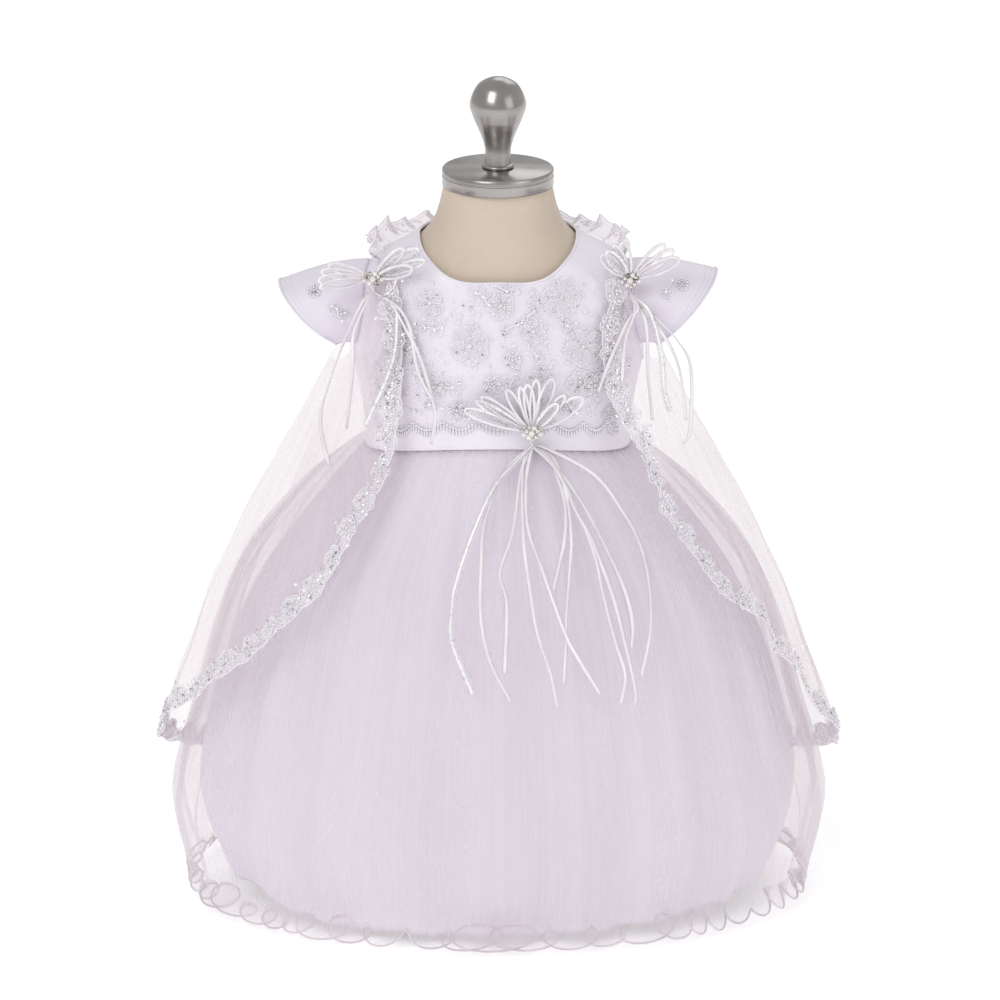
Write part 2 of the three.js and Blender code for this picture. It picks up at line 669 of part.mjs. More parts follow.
// The cape's sheet, as columns of threads from the right front edge round the back to the left.
function capePoint(across, down) {
  const right = across < 0.5;
  const share = right ? across * 2 : (1 - across) * 2;
  const rows = (right ? CAPE_RIGHT : CAPE_LEFT).map((row, i, all) => ({
    ...row,
    share: i / (all.length - 1),
  }));
  const pick = (column) => read(rows, 'share', column, share);
  const angle = lerp(pick('topAngle'), pick('edgeAngle'), down);
  const height = lerp(pick('top'), pick('edge'), down);
  const p = onTable(CAPE, right ? angle : 360 - angle, height);
  const length = pick('top') - pick('edge');
  const depth = CAPE_FOLD_DEPTH * down ** 1.5 * THREE.MathUtils.smoothstep(length, 60, 260);
  const wave = 0.5 - 0.5 * Math.cos(2 * Math.PI * CAPE_FOLDS * across);
  return p.add(point(p.x, p.y, 0).normalize().multiplyScalar(depth * wave));
}

// How far down a thread the trim's inner edge lies.
function trimStart(across) {
  const width = capePoint(across, 0.9).distanceTo(capePoint(across, 1)) * 10;
  return 1 - Math.min(TRIM_WIDTH / width, 0.97);
}

function capeRows() {
  const rows = [...CAPE_ROWS, null].map((down) => {
    const row = [];
    for (let j = 0; j <= CAPE_COLUMNS; j += 1) {
      const across = j / CAPE_COLUMNS;
      const start = trimStart(across);
      row.push(capePoint(across, down === null ? start : down * start));
    }
    return row;
  });
  const edge = rows[0].map((_, j) => capePoint(j / CAPE_COLUMNS, 1));
  return [...rows, edge];
}

function addCape() {
  const rows = capeRows();
  add('cape_tulle', clothWall(rows, CAPE_WALL), FINISHES.tulle);
  addCapeTrim(rows[rows.length - 2], rows[rows.length - 1]);
}

// Scalloped lace on the cape's whole outer edge, made from the cape's own points, moved out.
function addCapeTrim(inner, edge) {
  const outward = insideOf([inner, edge], -1).map((row, i) => (
    row.map((p, j) => p.clone().sub([inner, edge][i][j]))
  ));
  const sheet = (gap) => {
    const rows = [[], []];
    let travelled = 0;
    for (let k = 0; k <= CAPE_COLUMNS * TRIM_STEPS; k += 1) {
      const j = Math.min(Math.floor(k / TRIM_STEPS), CAPE_COLUMNS - 1);
      const s = k / TRIM_STEPS - j;
      const high = inner[j].clone().lerp(inner[j + 1], s);
      const low = edge[j].clone().lerp(edge[j + 1], s);
      const highOut = outward[0][j].clone().lerp(outward[0][j + 1], s).normalize();
      const lowOut = outward[1][j].clone().lerp(outward[1][j + 1], s).normalize();
      const scallop = SCALLOP_DEPTH * Math.sin((2 * Math.PI * travelled) / TRIM_PITCH);
      const reach = scallop / TRIM_WIDTH;
      rows[0].push(high.clone().lerp(low, 0.08 - reach * 0.4).addScaledVector(highOut, gap));
      rows[1].push(high.clone().lerp(low, 1.03 + reach).addScaledVector(lowOut, gap));
      travelled += edge[j].distanceTo(edge[j + 1]) / TRIM_STEPS;
    }
    return rows;
  };
  const geometry = wallBetween(sheet(TRIM_GAP + TRIM_WALL), sheet(TRIM_GAP));
  add('cape_trim', geometry, FINISHES.lace);
}

// A standing ruffle over both shoulders and round the back of the neck.
function addCollar() {
  const columns = COLLAR_WAVES * 4;
  const foot = [];
  const crest = [];
  for (let j = 0; j <= columns; j += 1) {
    const angle = lerp(COLLAR[0].angle, 360 - COLLAR[0].angle, j / columns);
    const turn = angle < 180 ? angle : 360 - angle;
    const pick = (column) => read(COLLAR, 'angle', column, turn);
    const base = onTable(BODICE, angle, pick('height')).add(point(0, 0, COLLAR_LIFT));
    const out = point(base.x, base.y, 0).normalize();
    const wave = Math.sin((2 * Math.PI * j) / 4);
    const lean = pick('lean') + COLLAR_WAVE_DEPTH * wave;
    const rise = point(0, 0, pick('rise') - COLLAR_WAVE_DEPTH * wave);
    foot.push(base);
    crest.push(base.clone().addScaledVector(out, lean).add(rise));
  }
  add('cape_collar', clothWall([crest, foot], COLLAR_WALL), FINISHES.lace);
}

// A flat ribbon along a smooth line.
function ribbon(points, steps) {
  const section = new THREE.Shape([
    new THREE.Vector2(-RIBBON_THICK / 2, -RIBBON_WIDTH / 2),
    new THREE.Vector2(RIBBON_THICK / 2, 0),
    new THREE.Vector2(-RIBBON_THICK / 2, RIBBON_WIDTH / 2),
  ]);
  return toSolid(new THREE.ExtrudeGeometry(section, {
    steps,
    bevelEnabled: false,
    extrudePath: new THREE.CatmullRomCurve3(points),
  }));
}

// A bow: loops and tails of narrow ribbon, caught together in one knot.
function addBow(name, knot, loops, tails) {
  const ball = new THREE.SphereGeometry(KNOT_RADIUS, 8, 5).scale(1.2, 0.8, 0.9);
  let bow = toSolid(ball.translate(knot.x, knot.y, knot.z));
  for (const { tip, width } of loops) {
    const along = tip.clone().sub(knot);
    const across = along.clone().cross(point(0, 1, 0)).normalize().multiplyScalar(width);
    const out = point(0, -width * 0.4, 0);
    const at = (share, sideways) => (
      knot.clone().addScaledVector(along, share).addScaledVector(across, sideways).add(out)
    );
    const line = [
      knot, at(0.45, 0.8), at(0.85, 0.75), at(1, 0), at(0.85, -0.75), at(0.45, -0.8), knot,
    ];
    bow = bow.add(ribbon(line, 10));
  }
  const under = knot.clone().add(point(0, -0.5, -KNOT_RADIUS * 2));
  for (const line of tails) bow = bow.add(ribbon([knot, under, ...line], 7));
  add(`bow_${name}`, fromSolid(bow), FINISHES.ribbon);
  const brooch = new THREE.SphereGeometry(BROOCH_RADIUS, 8, 5).scale(1.15, 0.5, 0.85);
  const stand = KNOT_RADIUS * 0.8 + BROOCH_RADIUS * 0.5 + BROOCH_GAP;
  brooch.translate(knot.x, knot.y - stand, knot.z + 1);
  add(`brooch_${name}`, toSolidGeometry(brooch), FINISHES.pearl);
}

// A tail that lies on the overskirt, from the waist to its free end.
function tailOnSkirt(startAngle, endAngle, endHeight) {
  const line = [];
  for (let i = 0; i <= 6; i += 1) {
    const share = i / 6;
    const angle = lerp(startAngle, endAngle, share ** 0.8);
    const top = waistHeight(startAngle);
    const height = lerp(top - 2, endHeight, share);
    const down = (waistHeight(angle) - height) / (waistHeight(angle) - TULLE_HEM);
    const depth = read(TULLE, 'down', 'depth', down) + TAIL_CLEARANCE;
    const width = read(TULLE, 'down', 'width', down) + TAIL_CLEARANCE;
    line.push(onSection(width, depth, depth, angle, height));
  }
  return line;
}

const WAIST_KNOT = point(23, -75.7, 352);
const WAIST_LOOPS = [
  { tip: point(-23, -82, 364), width: 5 },
  { tip: point(5, -82, 380), width: 5 },
  { tip: point(20, -83, 386), width: 4.5 },
  { tip: point(36, -82, 384), width: 5 },
];
const WAIST_TAILS = [
  { start: 12, end: -14, height: 262 },
  { start: 13, end: 3, height: 186 },
  { start: 14, end: 10, height: 214 },
  { start: 15, end: 19, height: 200 },
  { start: 16, end: 27, height: 186 },
];

const LEFT_KNOT = offTable(CAPE, -57.5, 447, KNOT_STAND);
const LEFT_LOOPS = [
  { tip: point(-121, -56, 454), width: 5 },
  { tip: point(-114, -54, 464), width: 4 },
  { tip: point(-58, -62, 467), width: 5 },
  { tip: point(-64, -60, 477), width: 4 },
];
const LEFT_TAILS = [
  [point(-96, -56, 420), point(-110, -58, 372), point(-119, -63, 322)],
  [point(-92, -56, 424), point(-94, -64, 380), point(-90, -72, 350)],
  [point(-78, -62, 426), point(-68, -74, 400), point(-54, -82, 366)],
];

const RIGHT_KNOT = offTable(CAPE, 62, 445, KNOT_STAND);
const RIGHT_LOOPS = [
  { tip: point(70, -58, 474), width: 5 },
  { tip: point(84, -56, 480), width: 4 },
  { tip: point(112, -54, 478), width: 4 },
  { tip: point(122, -54, 468), width: 5 },
];
const RIGHT_TAILS = [
  [point(90, -62, 424), point(80, -74, 392), point(72, -82, 362)],
  [point(100, -60, 420), point(98, -70, 384), point(92, -78, 352)],
  [point(110, -56, 420), point(124, -58, 376), point(132, -66, 330)],
];

function addBows() {
  const tails = WAIST_TAILS.map(({ start, end, height }) => tailOnSkirt(start, end, height));
  addBow('waist', WAIST_KNOT, WAIST_LOOPS, tails);
  addBow('left', LEFT_KNOT, LEFT_LOOPS, LEFT_TAILS);
  addBow('right', RIGHT_KNOT, RIGHT_LOOPS, RIGHT_TAILS);
}

addForm();
addBodice();
addSleeve('left', -1);
addSleeve('right', 1);
addBodiceLace();
addSkirts();
addCape();
addCollar();
addBows();

export default gown;
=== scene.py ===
import math
import random

import bmesh
import bpy
import numpy as np
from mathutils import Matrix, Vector


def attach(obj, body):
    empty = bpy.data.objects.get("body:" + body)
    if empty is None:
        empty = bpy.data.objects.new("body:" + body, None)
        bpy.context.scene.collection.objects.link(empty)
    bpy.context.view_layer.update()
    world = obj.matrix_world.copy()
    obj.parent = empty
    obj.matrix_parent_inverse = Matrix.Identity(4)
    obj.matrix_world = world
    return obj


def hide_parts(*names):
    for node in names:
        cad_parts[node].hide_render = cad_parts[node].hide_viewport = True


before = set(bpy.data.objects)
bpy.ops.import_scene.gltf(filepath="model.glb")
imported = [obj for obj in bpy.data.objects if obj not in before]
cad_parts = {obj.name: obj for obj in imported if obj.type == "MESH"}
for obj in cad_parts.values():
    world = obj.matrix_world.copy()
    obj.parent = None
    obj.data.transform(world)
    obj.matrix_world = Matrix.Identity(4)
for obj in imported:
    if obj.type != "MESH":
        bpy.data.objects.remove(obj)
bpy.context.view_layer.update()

# Lengths are worked out in millimetres, as in the CAD, and become metres where a piece is placed.
# The front faces -Y. Angles go round the body in degrees, from 0 at the front to 90 at +X.
MM = 0.001
SQUARENESS = 2.15
WAIST_SIDE, WAIST_FRONT_RISE, WAIST_BACK_RISE = 324, 14, 6
NECK_HALF_WIDTH, NECK_FRONT_DEPTH, NECK_BACK_DEPTH, NECK_FRONT_SQUARENESS = 54, 54, 48, 3
ARMHOLE_CENTRE, ARMHOLE_HALF_HEIGHT, ARMHOLE_HALF_DEPTH = 417, 34, 27
BODICE_WALL, BODICE_TOP = 1.5, 476.5
LACE_TURN, LACE_SCALLOPS = 66, 9  # the lace goes this many degrees round, each way from the front
SLEEVE_TURN = 118  # degrees that a sleeve goes round its armhole, each way from the top
HEM_CURLS = 56
SIDE_SEAM = 0.1  # degrees left open at a side seam
BAND_PITCH, BAND_START = 23.0, 8.0  # from flower to flower along the cape's edge, and to the first
CAMERA_TILT, CAMERA_DISTANCE = 17.5, 5.0  # degrees and metres

random.seed(7)


def table(columns, *rows):
    """A table with named columns."""
    return dict(zip(columns.split(), np.array(rows, float).T))


TORSO = table(
    "height width front back",
    (505, 37, 34, 34), (490, 40.5, 36, 37), (478, 45.5, 38, 41), (467, 56, 42, 45.5),
    (458, 72, 46, 49.5), (448, 85, 50, 53.5), (435, 92, 56, 58), (415, 94, 62, 62),
    (390, 95, 67, 65), (360, 91.5, 69, 65), (330, 88, 67.5, 65), (300, 90, 69, 68),
    (270, 94, 71, 72), (245, 95, 72, 74),
)
BODICE = table(
    "height width front back",
    (477, 45, 40.5, 44), (467, 62, 46.5, 50), (458, 79, 50.5, 54), (448, 90, 55, 58),
    (435, 96, 60, 62), (415, 99, 67, 66), (390, 100, 73, 69.5), (365, 95, 72, 69.5),
    (340, 91.5, 70.5, 69), (312, 91, 70, 69),
)
TULLE = table(
    "down width depth fold",
    (0, 92, 71.3, 0.3), (0.05, 113, 89, 2), (0.12, 137, 105, 3.6), (0.25, 170.5, 124.5, 4.5),
    (0.38, 189.5, 136.5, 4.5), (0.57, 206.5, 144.5, 4.5), (0.79, 224.5, 150.5, 4.5),
    (0.94, 217, 146, 4), (1, 213, 145, 0),
)
SATIN = table(
    "down width depth fold",
    (0, 90.1, 69.8, 0.2), (0.12, 119, 91, 2), (0.3, 159, 112, 3.4), (0.55, 189, 126, 4.4),
    (0.8, 203, 131, 4.8), (0.92, 197, 130, 5), (1, 186, 127, 5),
)
CAPE = table(
    "height width front back",
    (475, 55, 46, 50), (469.5, 65, 50, 54), (460.5, 82, 54, 58), (450, 93.5, 58.5, 67),
    (437, 99.5, 63.5, 74), (415, 103, 70.8, 78), (390, 112, 77, 81), (366, 124, 77.5, 84),
    (345, 135, 78.5, 89), (330, 143, 84, 94), (316, 151, 96, 100), (300, 159, 107, 109),
    (286, 167, 115, 116), (259, 180, 126, 130), (242, 187, 133, 138), (213, 200, 142, 147),
    (177, 211, 149, 153), (147, 222, 153, 156), (98, 234, 159, 160), (69, 237, 161, 162),
    (40, 237, 161, 162),
)
BACK_THREADS = (
    (120, 418, 136, 59), (130, 440, 151, 54), (150, 456, 166, 52), (180, 461, 180, 51),
)
CAPE_RIGHT = table(
    "top_angle top edge_angle edge",
    (54, 455, 50, 442), (57, 453, 41, 412), (60, 450, 38, 366), (61, 445, 43, 330),
    (61, 437, 44, 284), (61, 424, 52, 243), (62, 410, 62, 215), (66, 396, 68, 186),
    (73, 389, 73, 162), (82, 386, 80, 130), (92, 386, 91, 105), (105, 388, 105, 86),
    (114, 397, 120, 70), *BACK_THREADS,
)
CAPE_LEFT = table(
    "top_angle top edge_angle edge",
    (50, 456, 42, 444), (55, 454, 37, 412), (58, 451, 31, 366), (60, 446, 29, 330),
    (61, 438, 32, 300), (61, 424, 38, 254), (62, 410, 46, 219), (66, 396, 56, 190),
    (73, 389, 66, 165), (82, 386, 77, 141), (92, 386, 90, 115), (105, 388, 104, 91),
    (114, 397, 120, 71), *BACK_THREADS,
)
for threads in (CAPE_RIGHT, CAPE_LEFT):
    threads["share"] = np.linspace(0, 1, len(threads["top"]))
SLEEVE_HEM = table(
    "angle out forward height",
    (0, 150, 3, 438), (30, 146, 21, 433), (60, 135, 33, 421), (90, 122, 37, 410),
    (118, 110, 33, 401),
)
COLLAR = table(
    "angle height rise lean",
    (60, 454, 10, 6), (78, 456.5, 13, 7), (95, 459, 12, 9), (120, 464, 6, 11),
    (150, 467, 2.5, 12), (180, 468, 2, 12),
)


# Shapes that follow the body


def read(rows, key, column, at):
    """A column of a table at any place between its rows, on a smooth curve."""
    keys, values = rows[key], rows[column]
    if keys[0] > keys[-1]:
        keys, values = keys[::-1], values[::-1]
    at = np.asarray(at, float)
    i = np.clip(np.searchsorted(keys, at) - 1, 0, len(keys) - 2)
    slope = np.empty(len(keys))
    slope[1:-1] = (values[2:] - values[:-2]) / (keys[2:] - keys[:-2])
    slope[0] = (values[1] - values[0]) / (keys[1] - keys[0])
    slope[-1] = (values[-1] - values[-2]) / (keys[-1] - keys[-2])
    span = keys[i + 1] - keys[i]
    s = np.clip((at - keys[i]) / span, 0, 1)
    r = 1 - s
    low = values[i] * r * r * (1 + 2 * s) + slope[i] * span * r * r * s
    return low + values[i + 1] * s * s * (3 - 2 * s) - slope[i + 1] * span * s * s * r


def on_section(width, front, back, degrees, height):
    """A point of the body's rounded section, at an angle from the centre front."""
    across, ahead = np.sin(np.radians(degrees)), np.cos(np.radians(degrees))
    power = 2 / SQUARENESS
    depth = np.where(ahead > 0, front, back)
    x = width * np.sign(across) * np.abs(across) ** power
    y = -depth * np.sign(ahead) * np.abs(ahead) ** power
    return np.stack(np.broadcast_arrays(x, y, height), -1)


def on_table(rows, degrees, height):
    width, front, back = (read(rows, "height", c, height) for c in ("width", "front", "back"))
    return on_section(width, front, back, degrees, height)


def unit(vectors):
    return vectors / np.maximum(np.linalg.norm(vectors, axis=-1, keepdims=True), 1e-9)


def off_table(rows, degrees, height, distance):
    """As on_table, moved straight out from the surface by a distance."""
    degrees, height = np.broadcast_arrays(np.asarray(degrees, float), height)
    around = on_table(rows, degrees + 0.5, height) - on_table(rows, degrees - 0.5, height)
    up = on_table(rows, degrees, height + 0.5) - on_table(rows, degrees, height - 0.5)
    out = unit(np.cross(around, up))
    return on_table(rows, degrees, height) + out * np.asarray(distance)[..., None]


def smooth_step(at, low, high):
    s = np.clip((at - low) / (high - low), 0, 1)
    return s * s * (3 - 2 * s)


def waist_height(degrees):
    ahead = np.cos(np.radians(degrees))
    return WAIST_SIDE + np.where(ahead > 0, WAIST_FRONT_RISE, WAIST_BACK_RISE) * ahead**2


def front_point(x, height, out, rows=BODICE):
    """The point of a table's front at a sideways place and a height, moved forward."""
    x, height = np.asarray(x, float), np.asarray(height, float)
    width = read(rows, "height", "width", height)
    share = np.clip(np.abs(x) / width, 0, 0.995) ** SQUARENESS
    y = -read(rows, "height", "front", height) * (1 - share) ** (1 / SQUARENESS)
    return np.stack(np.broadcast_arrays(x, y - out, height), -1)


def skirt_front(x, height, out):
    """As front_point, for the overskirt."""
    angle = math.degrees(math.asin(min(abs(x) / 200, 1)))
    top = float(waist_height(angle))
    down = (top - height) / (top - 5)
    width, depth = (float(read(TULLE, "down", c, down)) + out for c in ("width", "depth"))
    share = min(abs(x) / width, 0.995) ** SQUARENESS
    return np.array((x, -depth * (1 - share) ** (1 / SQUARENESS), height))


def level(points):
    """The level way out from the body's axis at some points."""
    return unit(np.concatenate([points[..., :2], 0 * points[..., 2:]], -1))


def spline(points, steps):
    """A smooth line through some points, with even steps between them."""
    p = np.asarray(points, float)
    p = np.vstack([2 * p[0] - p[1], p, 2 * p[-1] - p[-2]])
    out = []
    for i in range(1, len(p) - 2):
        for t in np.linspace(0, 1, steps, endpoint=False):
            a, b, c, d = p[i - 1 : i + 3]
            out.append(
                0.5 * (2 * b + (c - a) * t + (2 * a - 5 * b + 4 * c - d) * t**2
                       + (3 * b - a - 3 * c + d) * t**3)
            )
    return np.array([*out, p[-2]])


def travel(path):
    """How far along a line each of its points is."""
    return np.concatenate([[0], np.cumsum(np.linalg.norm(np.diff(path, axis=0), axis=1))])


# Materials


class Maker:
    """A few short calls to wire up one material."""

    def __init__(self, name):
        self.material = bpy.data.materials.new(name)
        self.material.use_nodes = True
        self.nodes, self.links = self.material.node_tree.nodes, self.material.node_tree.links
        self.nodes.clear()
        self.coords = self.nodes.new("ShaderNodeTexCoord")

    def join(self, socket, value):
        """Gives a socket a value, or a link from another node."""
        if isinstance(value, bpy.types.NodeSocket):
            self.links.new(value, socket)
        elif socket.type == "RGBA" and len(value) == 3:
            socket.default_value = (*value, 1)
        else:
            socket.default_value = value

    def node(self, kind, values=(), **inputs):
        n = self.nodes.new(kind)
        for key, value in dict(values).items():
            setattr(n, key, value)
        for key, value in inputs.items():
            self.join(n.inputs[key.replace("_", " ")], value)
        return n

    def math(self, operation, a, b, clamp=False):
        n = self.node("ShaderNodeMath", {"operation": operation, "use_clamp": clamp})
        for socket, value in zip(n.inputs, (a, b)):
            self.join(socket, value)
        return n.outputs[0]

    def scaled(self, source, scale):
        return self.node("ShaderNodeMapping", Vector=self.coords.outputs[source], Scale=scale).outputs[0]

    def noise(self, source, scale, detail=3.0, rough=0.5):
        at = self.scaled(source, scale)
        n = self.node("ShaderNodeTexNoise", Vector=at, Scale=1, Detail=detail, Roughness=rough)
        return n.outputs[0]

    def ramp(self, value, low, high, out_low=0.0, out_high=1.0):
        return self.node(
            "ShaderNodeMapRange", {"interpolation_type": "SMOOTHSTEP"},
            Value=value, From_Min=low, From_Max=high, To_Min=out_low, To_Max=out_high,
        ).outputs[0]

    def blend(self, amount, first, second):
        n = self.node("ShaderNodeMix", {"data_type": "RGBA"})
        colours = [socket for socket in n.inputs if socket.type == "RGBA"]
        for socket, value in zip((n.inputs[0], *colours), (amount, first, second)):
            self.join(socket, value)
        return next(socket for socket in n.outputs if socket.type == "RGBA")

    def toned(self, scale, detail, dark, light, low=0.3, high=0.7):
        """A colour that drifts between two tones."""
        return self.blend(self.ramp(self.noise("Object", scale, detail), low, high), dark, light)

    def bump(self, height, strength, distance, under=None):
        n = self.node("ShaderNodeBump", Height=height, Strength=strength, Distance=distance)
        if under is not None:
            self.join(n.inputs["Normal"], under)
        return n.outputs[0]

    def shader(self, colour, roughness, normal=None, **more):
        n = self.node("ShaderNodeBsdfPrincipled", Base_Color=colour, Roughness=roughness, **more)
        if normal is not None:
            self.join(n.inputs["Normal"], normal)
        return n.outputs[0]

    def mix(self, share, first, second):
        """The second shader by this share, and the first for the rest."""
        n = self.node("ShaderNodeMixShader")
        for socket, value in zip(n.inputs, (share, first, second)):
            self.join(socket, value)
        return n.outputs[0]

    def seen_through(self, cover, shader):
        """A cloth that hides only this share of what is behind it."""
        return self.mix(cover, self.node("ShaderNodeBsdfTransparent").outputs[0], shader)

    def done(self, shader):
        out = self.nodes.new("ShaderNodeOutputMaterial")
        self.links.new(shader, out.inputs["Surface"])
        return self.material


def cream_cover():
    """The form's woven cotton cover: two crossing sets of threads and faint slubs."""
    m = Maker("cream_cotton_cover")
    across = m.noise("Object", (300, 300, 2600), 2)
    along = m.noise("Object", (2200, 2200, 260), 2)
    weave = m.math("ADD", across, along)
    colour = m.toned((18, 18, 14), 4, (0.66, 0.55, 0.45), (0.71, 0.60, 0.495))
    colour = m.blend(m.ramp(weave, 0.8, 1.25, 0, 0.22), colour, (0.54, 0.44, 0.34))
    return m.done(m.shader(colour, 0.85, m.bump(weave, 0.35, 0.0004), Sheen_Weight=0.25))


def brushed_steel():
    """Steel that is brushed round its own axis."""
    m = Maker("brushed_steel")
    lines = m.noise("Object", (30, 30, 2400), 3)
    smear = m.noise("Object", (40, 40, 60), 3)
    rough = m.math("ADD", m.math("MULTIPLY", lines, 0.12), m.ramp(smear, 0.3, 0.8, 0.16, 0.28))
    colour = m.blend(m.ramp(smear, 0.3, 0.7), (0.36, 0.34, 0.325), (0.46, 0.44, 0.425))
    return m.done(m.shader(colour, rough, m.bump(lines, 0.12, 0.0002), Metallic=1.0))


def white_satin(name="white_satin", colour=(0.85, 0.80, 0.895), crease=1.0):
    """Satin: fine threads, a soft gloss and the small creases of a sewn lining."""
    m = Maker(name)
    threads = m.noise("Object", (1800, 1800, 420), 2)
    soft = m.noise("Object", (14, 14, 5), 3, 0.55)
    puckers = m.noise("Object", (90, 90, 24), 3, 0.5)
    # Painted shade: the colour is 6 % darker in the hollows of the broad soft creases, following the same
    # noise as the first bump.
    shade = m.blend(m.ramp(soft, 0.25, 0.75), tuple(c * 0.94 for c in colour), colour)
    normal = m.bump(soft, 0.45 * crease, 0.009)
    normal = m.bump(puckers, 0.22 * crease, 0.0012, normal)
    normal = m.bump(threads, 0.03, 0.0001, normal)
    rough = m.ramp(threads, 0.2, 0.8, 0.42, 0.5)
    return m.done(m.shader(shade, rough, normal, Sheen_Weight=0.35, Sheen_Roughness=0.4))


def sheer(name, colour, top, clear, streaks):
    """Tulle: a fine net, denser where its gathers lie close, and painted lighter near the waist to lift the
    shade that falls there under the bodice and the cape.
    clear is the least share of what is behind that it hides."""
    m = Maker(name)
    broad = m.noise("UV", (70, 2, 1), 3)
    cloud = m.noise("Object", (16, 16, 9), 3)
    cover = m.math("ADD", clear + 0.015 * streaks, m.ramp(broad, 0.3, 0.8, 0, 0.22 * streaks))
    cover = m.math("ADD", cover, m.ramp(cloud, 0.3, 0.75, 0, 0.12), clamp=True)
    height = m.node("ShaderNodeSeparateXYZ", Vector=m.coords.outputs["Object"]).outputs["Z"]
    # Painted light: from 0.22 to 0.32 m up, the colour turns to the lighter top colour, which lifts the shade
    # near the waist.
    shade = m.blend(m.ramp(height, 0.22, 0.32), colour, top)
    cloth = m.shader(shade, 0.7, m.bump(broad, 0.25, 0.003), Sheen_Weight=0.15)
    through = m.node("ShaderNodeBsdfTranslucent", Color=colour).outputs[0]
    return m.done(m.seen_through(cover, m.mix(0.4, cloth, through)))


def lace_ground(name, least, colour=(0.92, 0.89, 0.95)):
    """Sheer lace ground with small worked sprigs between the flowers."""
    m = Maker(name)
    cells = m.node("ShaderNodeTexVoronoi", {"feature": "F1"}, Vector=m.scaled("UV", (190, 190, 1)), Scale=1)
    spots = m.ramp(cells.outputs["Distance"], 0.25, 0.42, 1, 0)
    worked = m.math("MULTIPLY", spots, m.ramp(m.noise("UV", (60, 60, 1), 2), 0.48, 0.56))
    twist = m.noise("Object", (900, 900, 900), 2)
    cover = m.math("ADD", least, m.math("MULTIPLY", worked, 0.6))
    cover = m.math("ADD", cover, m.ramp(twist, 0.3, 0.8, 0, 0.12), clamp=True)
    cloth = m.shader(colour, 0.55, m.bump(worked, 0.6, 0.0008), Sheen_Weight=0.3)
    return m.done(m.seen_through(cover, cloth))


def thread_work():
    """Glossy embroidery thread."""
    m = Maker("embroidery_thread")
    strands = m.noise("Object", (2400, 2400, 2400), 2)
    colour = m.toned((120, 120, 120), 2, (0.97, 0.94, 1.0), (1.0, 0.98, 1.0))
    return m.done(m.shader(colour, 0.4, m.bump(strands, 0.15, 0.0003), Sheen_Weight=0.2))


def silver_foil(name, colour, rough, dark=0.3, metal=1.0):
    """Sequins and metal thread, some spots painted darker: painted dark glints that stand in for the dark
    surroundings the metal reflects.
    """
    m = Maker(name)
    # Painted reflection: where the noise is low the colour falls to its dark share, as dark glints.
    shade = m.toned((420, 420, 420), 1, tuple(c * dark for c in colour), colour, 0.36, 0.44)
    return m.done(m.shader(shade, rough, Metallic=metal))


def pearl_gloss():
    """The soft gloss of pearls, from cream to white."""
    m = Maker("pearl")
    colour = m.toned((260, 260, 260), 2, (0.80, 0.76, 0.72), (0.93, 0.91, 0.90))
    return m.done(m.shader(colour, 0.16, Coat_Weight=0.6, Coat_Roughness=0.08))


def ribbon_satin():
    """Narrow ribbon, woven finely along its length."""
    m = Maker("ribbon_satin")
    threads = m.noise("Object", (2600, 2600, 500), 2)
    colour = m.toned((70, 70, 30), 2, (0.84, 0.79, 0.84), (0.95, 0.91, 0.94))
    return m.done(m.shader(colour, 0.26, m.bump(threads, 0.2, 0.0002), Sheen_Weight=0.2))


def hem_filament():
    """The clear nylon line that is rolled into the overskirt's curled hem."""
    m = Maker("hem_filament")
    colour = m.toned((60, 60, 60), 2, (0.66, 0.60, 0.64), (0.80, 0.74, 0.77))
    return m.done(m.shader(colour, 0.3, Coat_Weight=0.3))


LINEN, STEEL, SATIN_CLOTH = cream_cover(), brushed_steel(), white_satin()
# The bodice's satin is the same cloth as the sleeves' satin, painted lighter to lift the shade that falls on
# the bodice towards the waist.
BODICE_SATIN = white_satin("bodice_satin", (0.93, 0.88, 0.965), 0.6)
SLEEVE_SATIN = white_satin("sleeve_satin", (0.86, 0.81, 0.905), 0.6)
# The overskirt's second colour is its painted lighter tone near the waist. The cape's second colour is the
# same as its first, so the cape gets none.
OVERSKIRT_NET = sheer("overskirt_tulle", (0.86, 0.79, 0.83), (0.96, 0.91, 0.95), 0.20, 1.0)
CAPE_NET = sheer("cape_tulle_net", (0.93, 0.83, 0.865), (0.93, 0.83, 0.865), 0.17, 0.6)
BODICE_LACE = lace_ground("bodice_lace_ground", 0.14)
TRIM_LACE = lace_ground("trim_lace_ground", 0.5, (0.97, 0.93, 0.99))
RUFFLE_LACE = lace_ground("ruffle_organza", 0.62, (0.91, 0.85, 0.91))
PETAL = lace_ground("petal_organza", 0.3, (0.98, 0.95, 1.0))
THREAD, PEARL, RIBBON, FILAMENT = thread_work(), pearl_gloss(), ribbon_satin(), hem_filament()
# The fourth number of each is the share of the colour left in the painted dark glints.
SEQUIN = silver_foil("silver_sequin", (0.97, 0.95, 0.98), 0.12, 0.35, 0.45)
STONE = silver_foil("cut_stone", (0.80, 0.77, 0.70), 0.06, 0.2)
PICOT = silver_foil("silver_ribbon", (0.96, 0.94, 0.97), 0.3, 0.8, 0.15)
WORKED = [THREAD, SEQUIN, PEARL, PETAL]


# Making meshes


def faces_of(verts):
    return {face for v in verts for face in v.link_faces}


def paint(verts, which):
    """Gives one of the piece's materials, by its number, to the faces of some points."""
    for face in faces_of(verts):
        face.material_index = which


def add_plain_grid(bm, columns, rows, place, which=0):
    """A grid whose points place(u, v) gives: u runs to the right as seen from outside and v up."""
    made = bmesh.ops.create_grid(bm, x_segments=columns, y_segments=rows, size=0.5)["verts"]
    flat = np.array([v.co[:2] for v in made]) + 0.5
    for v, p in zip(made, place(flat[:, 0], flat[:, 1])):
        v.co = p
    paint(made, which)
    return made, flat


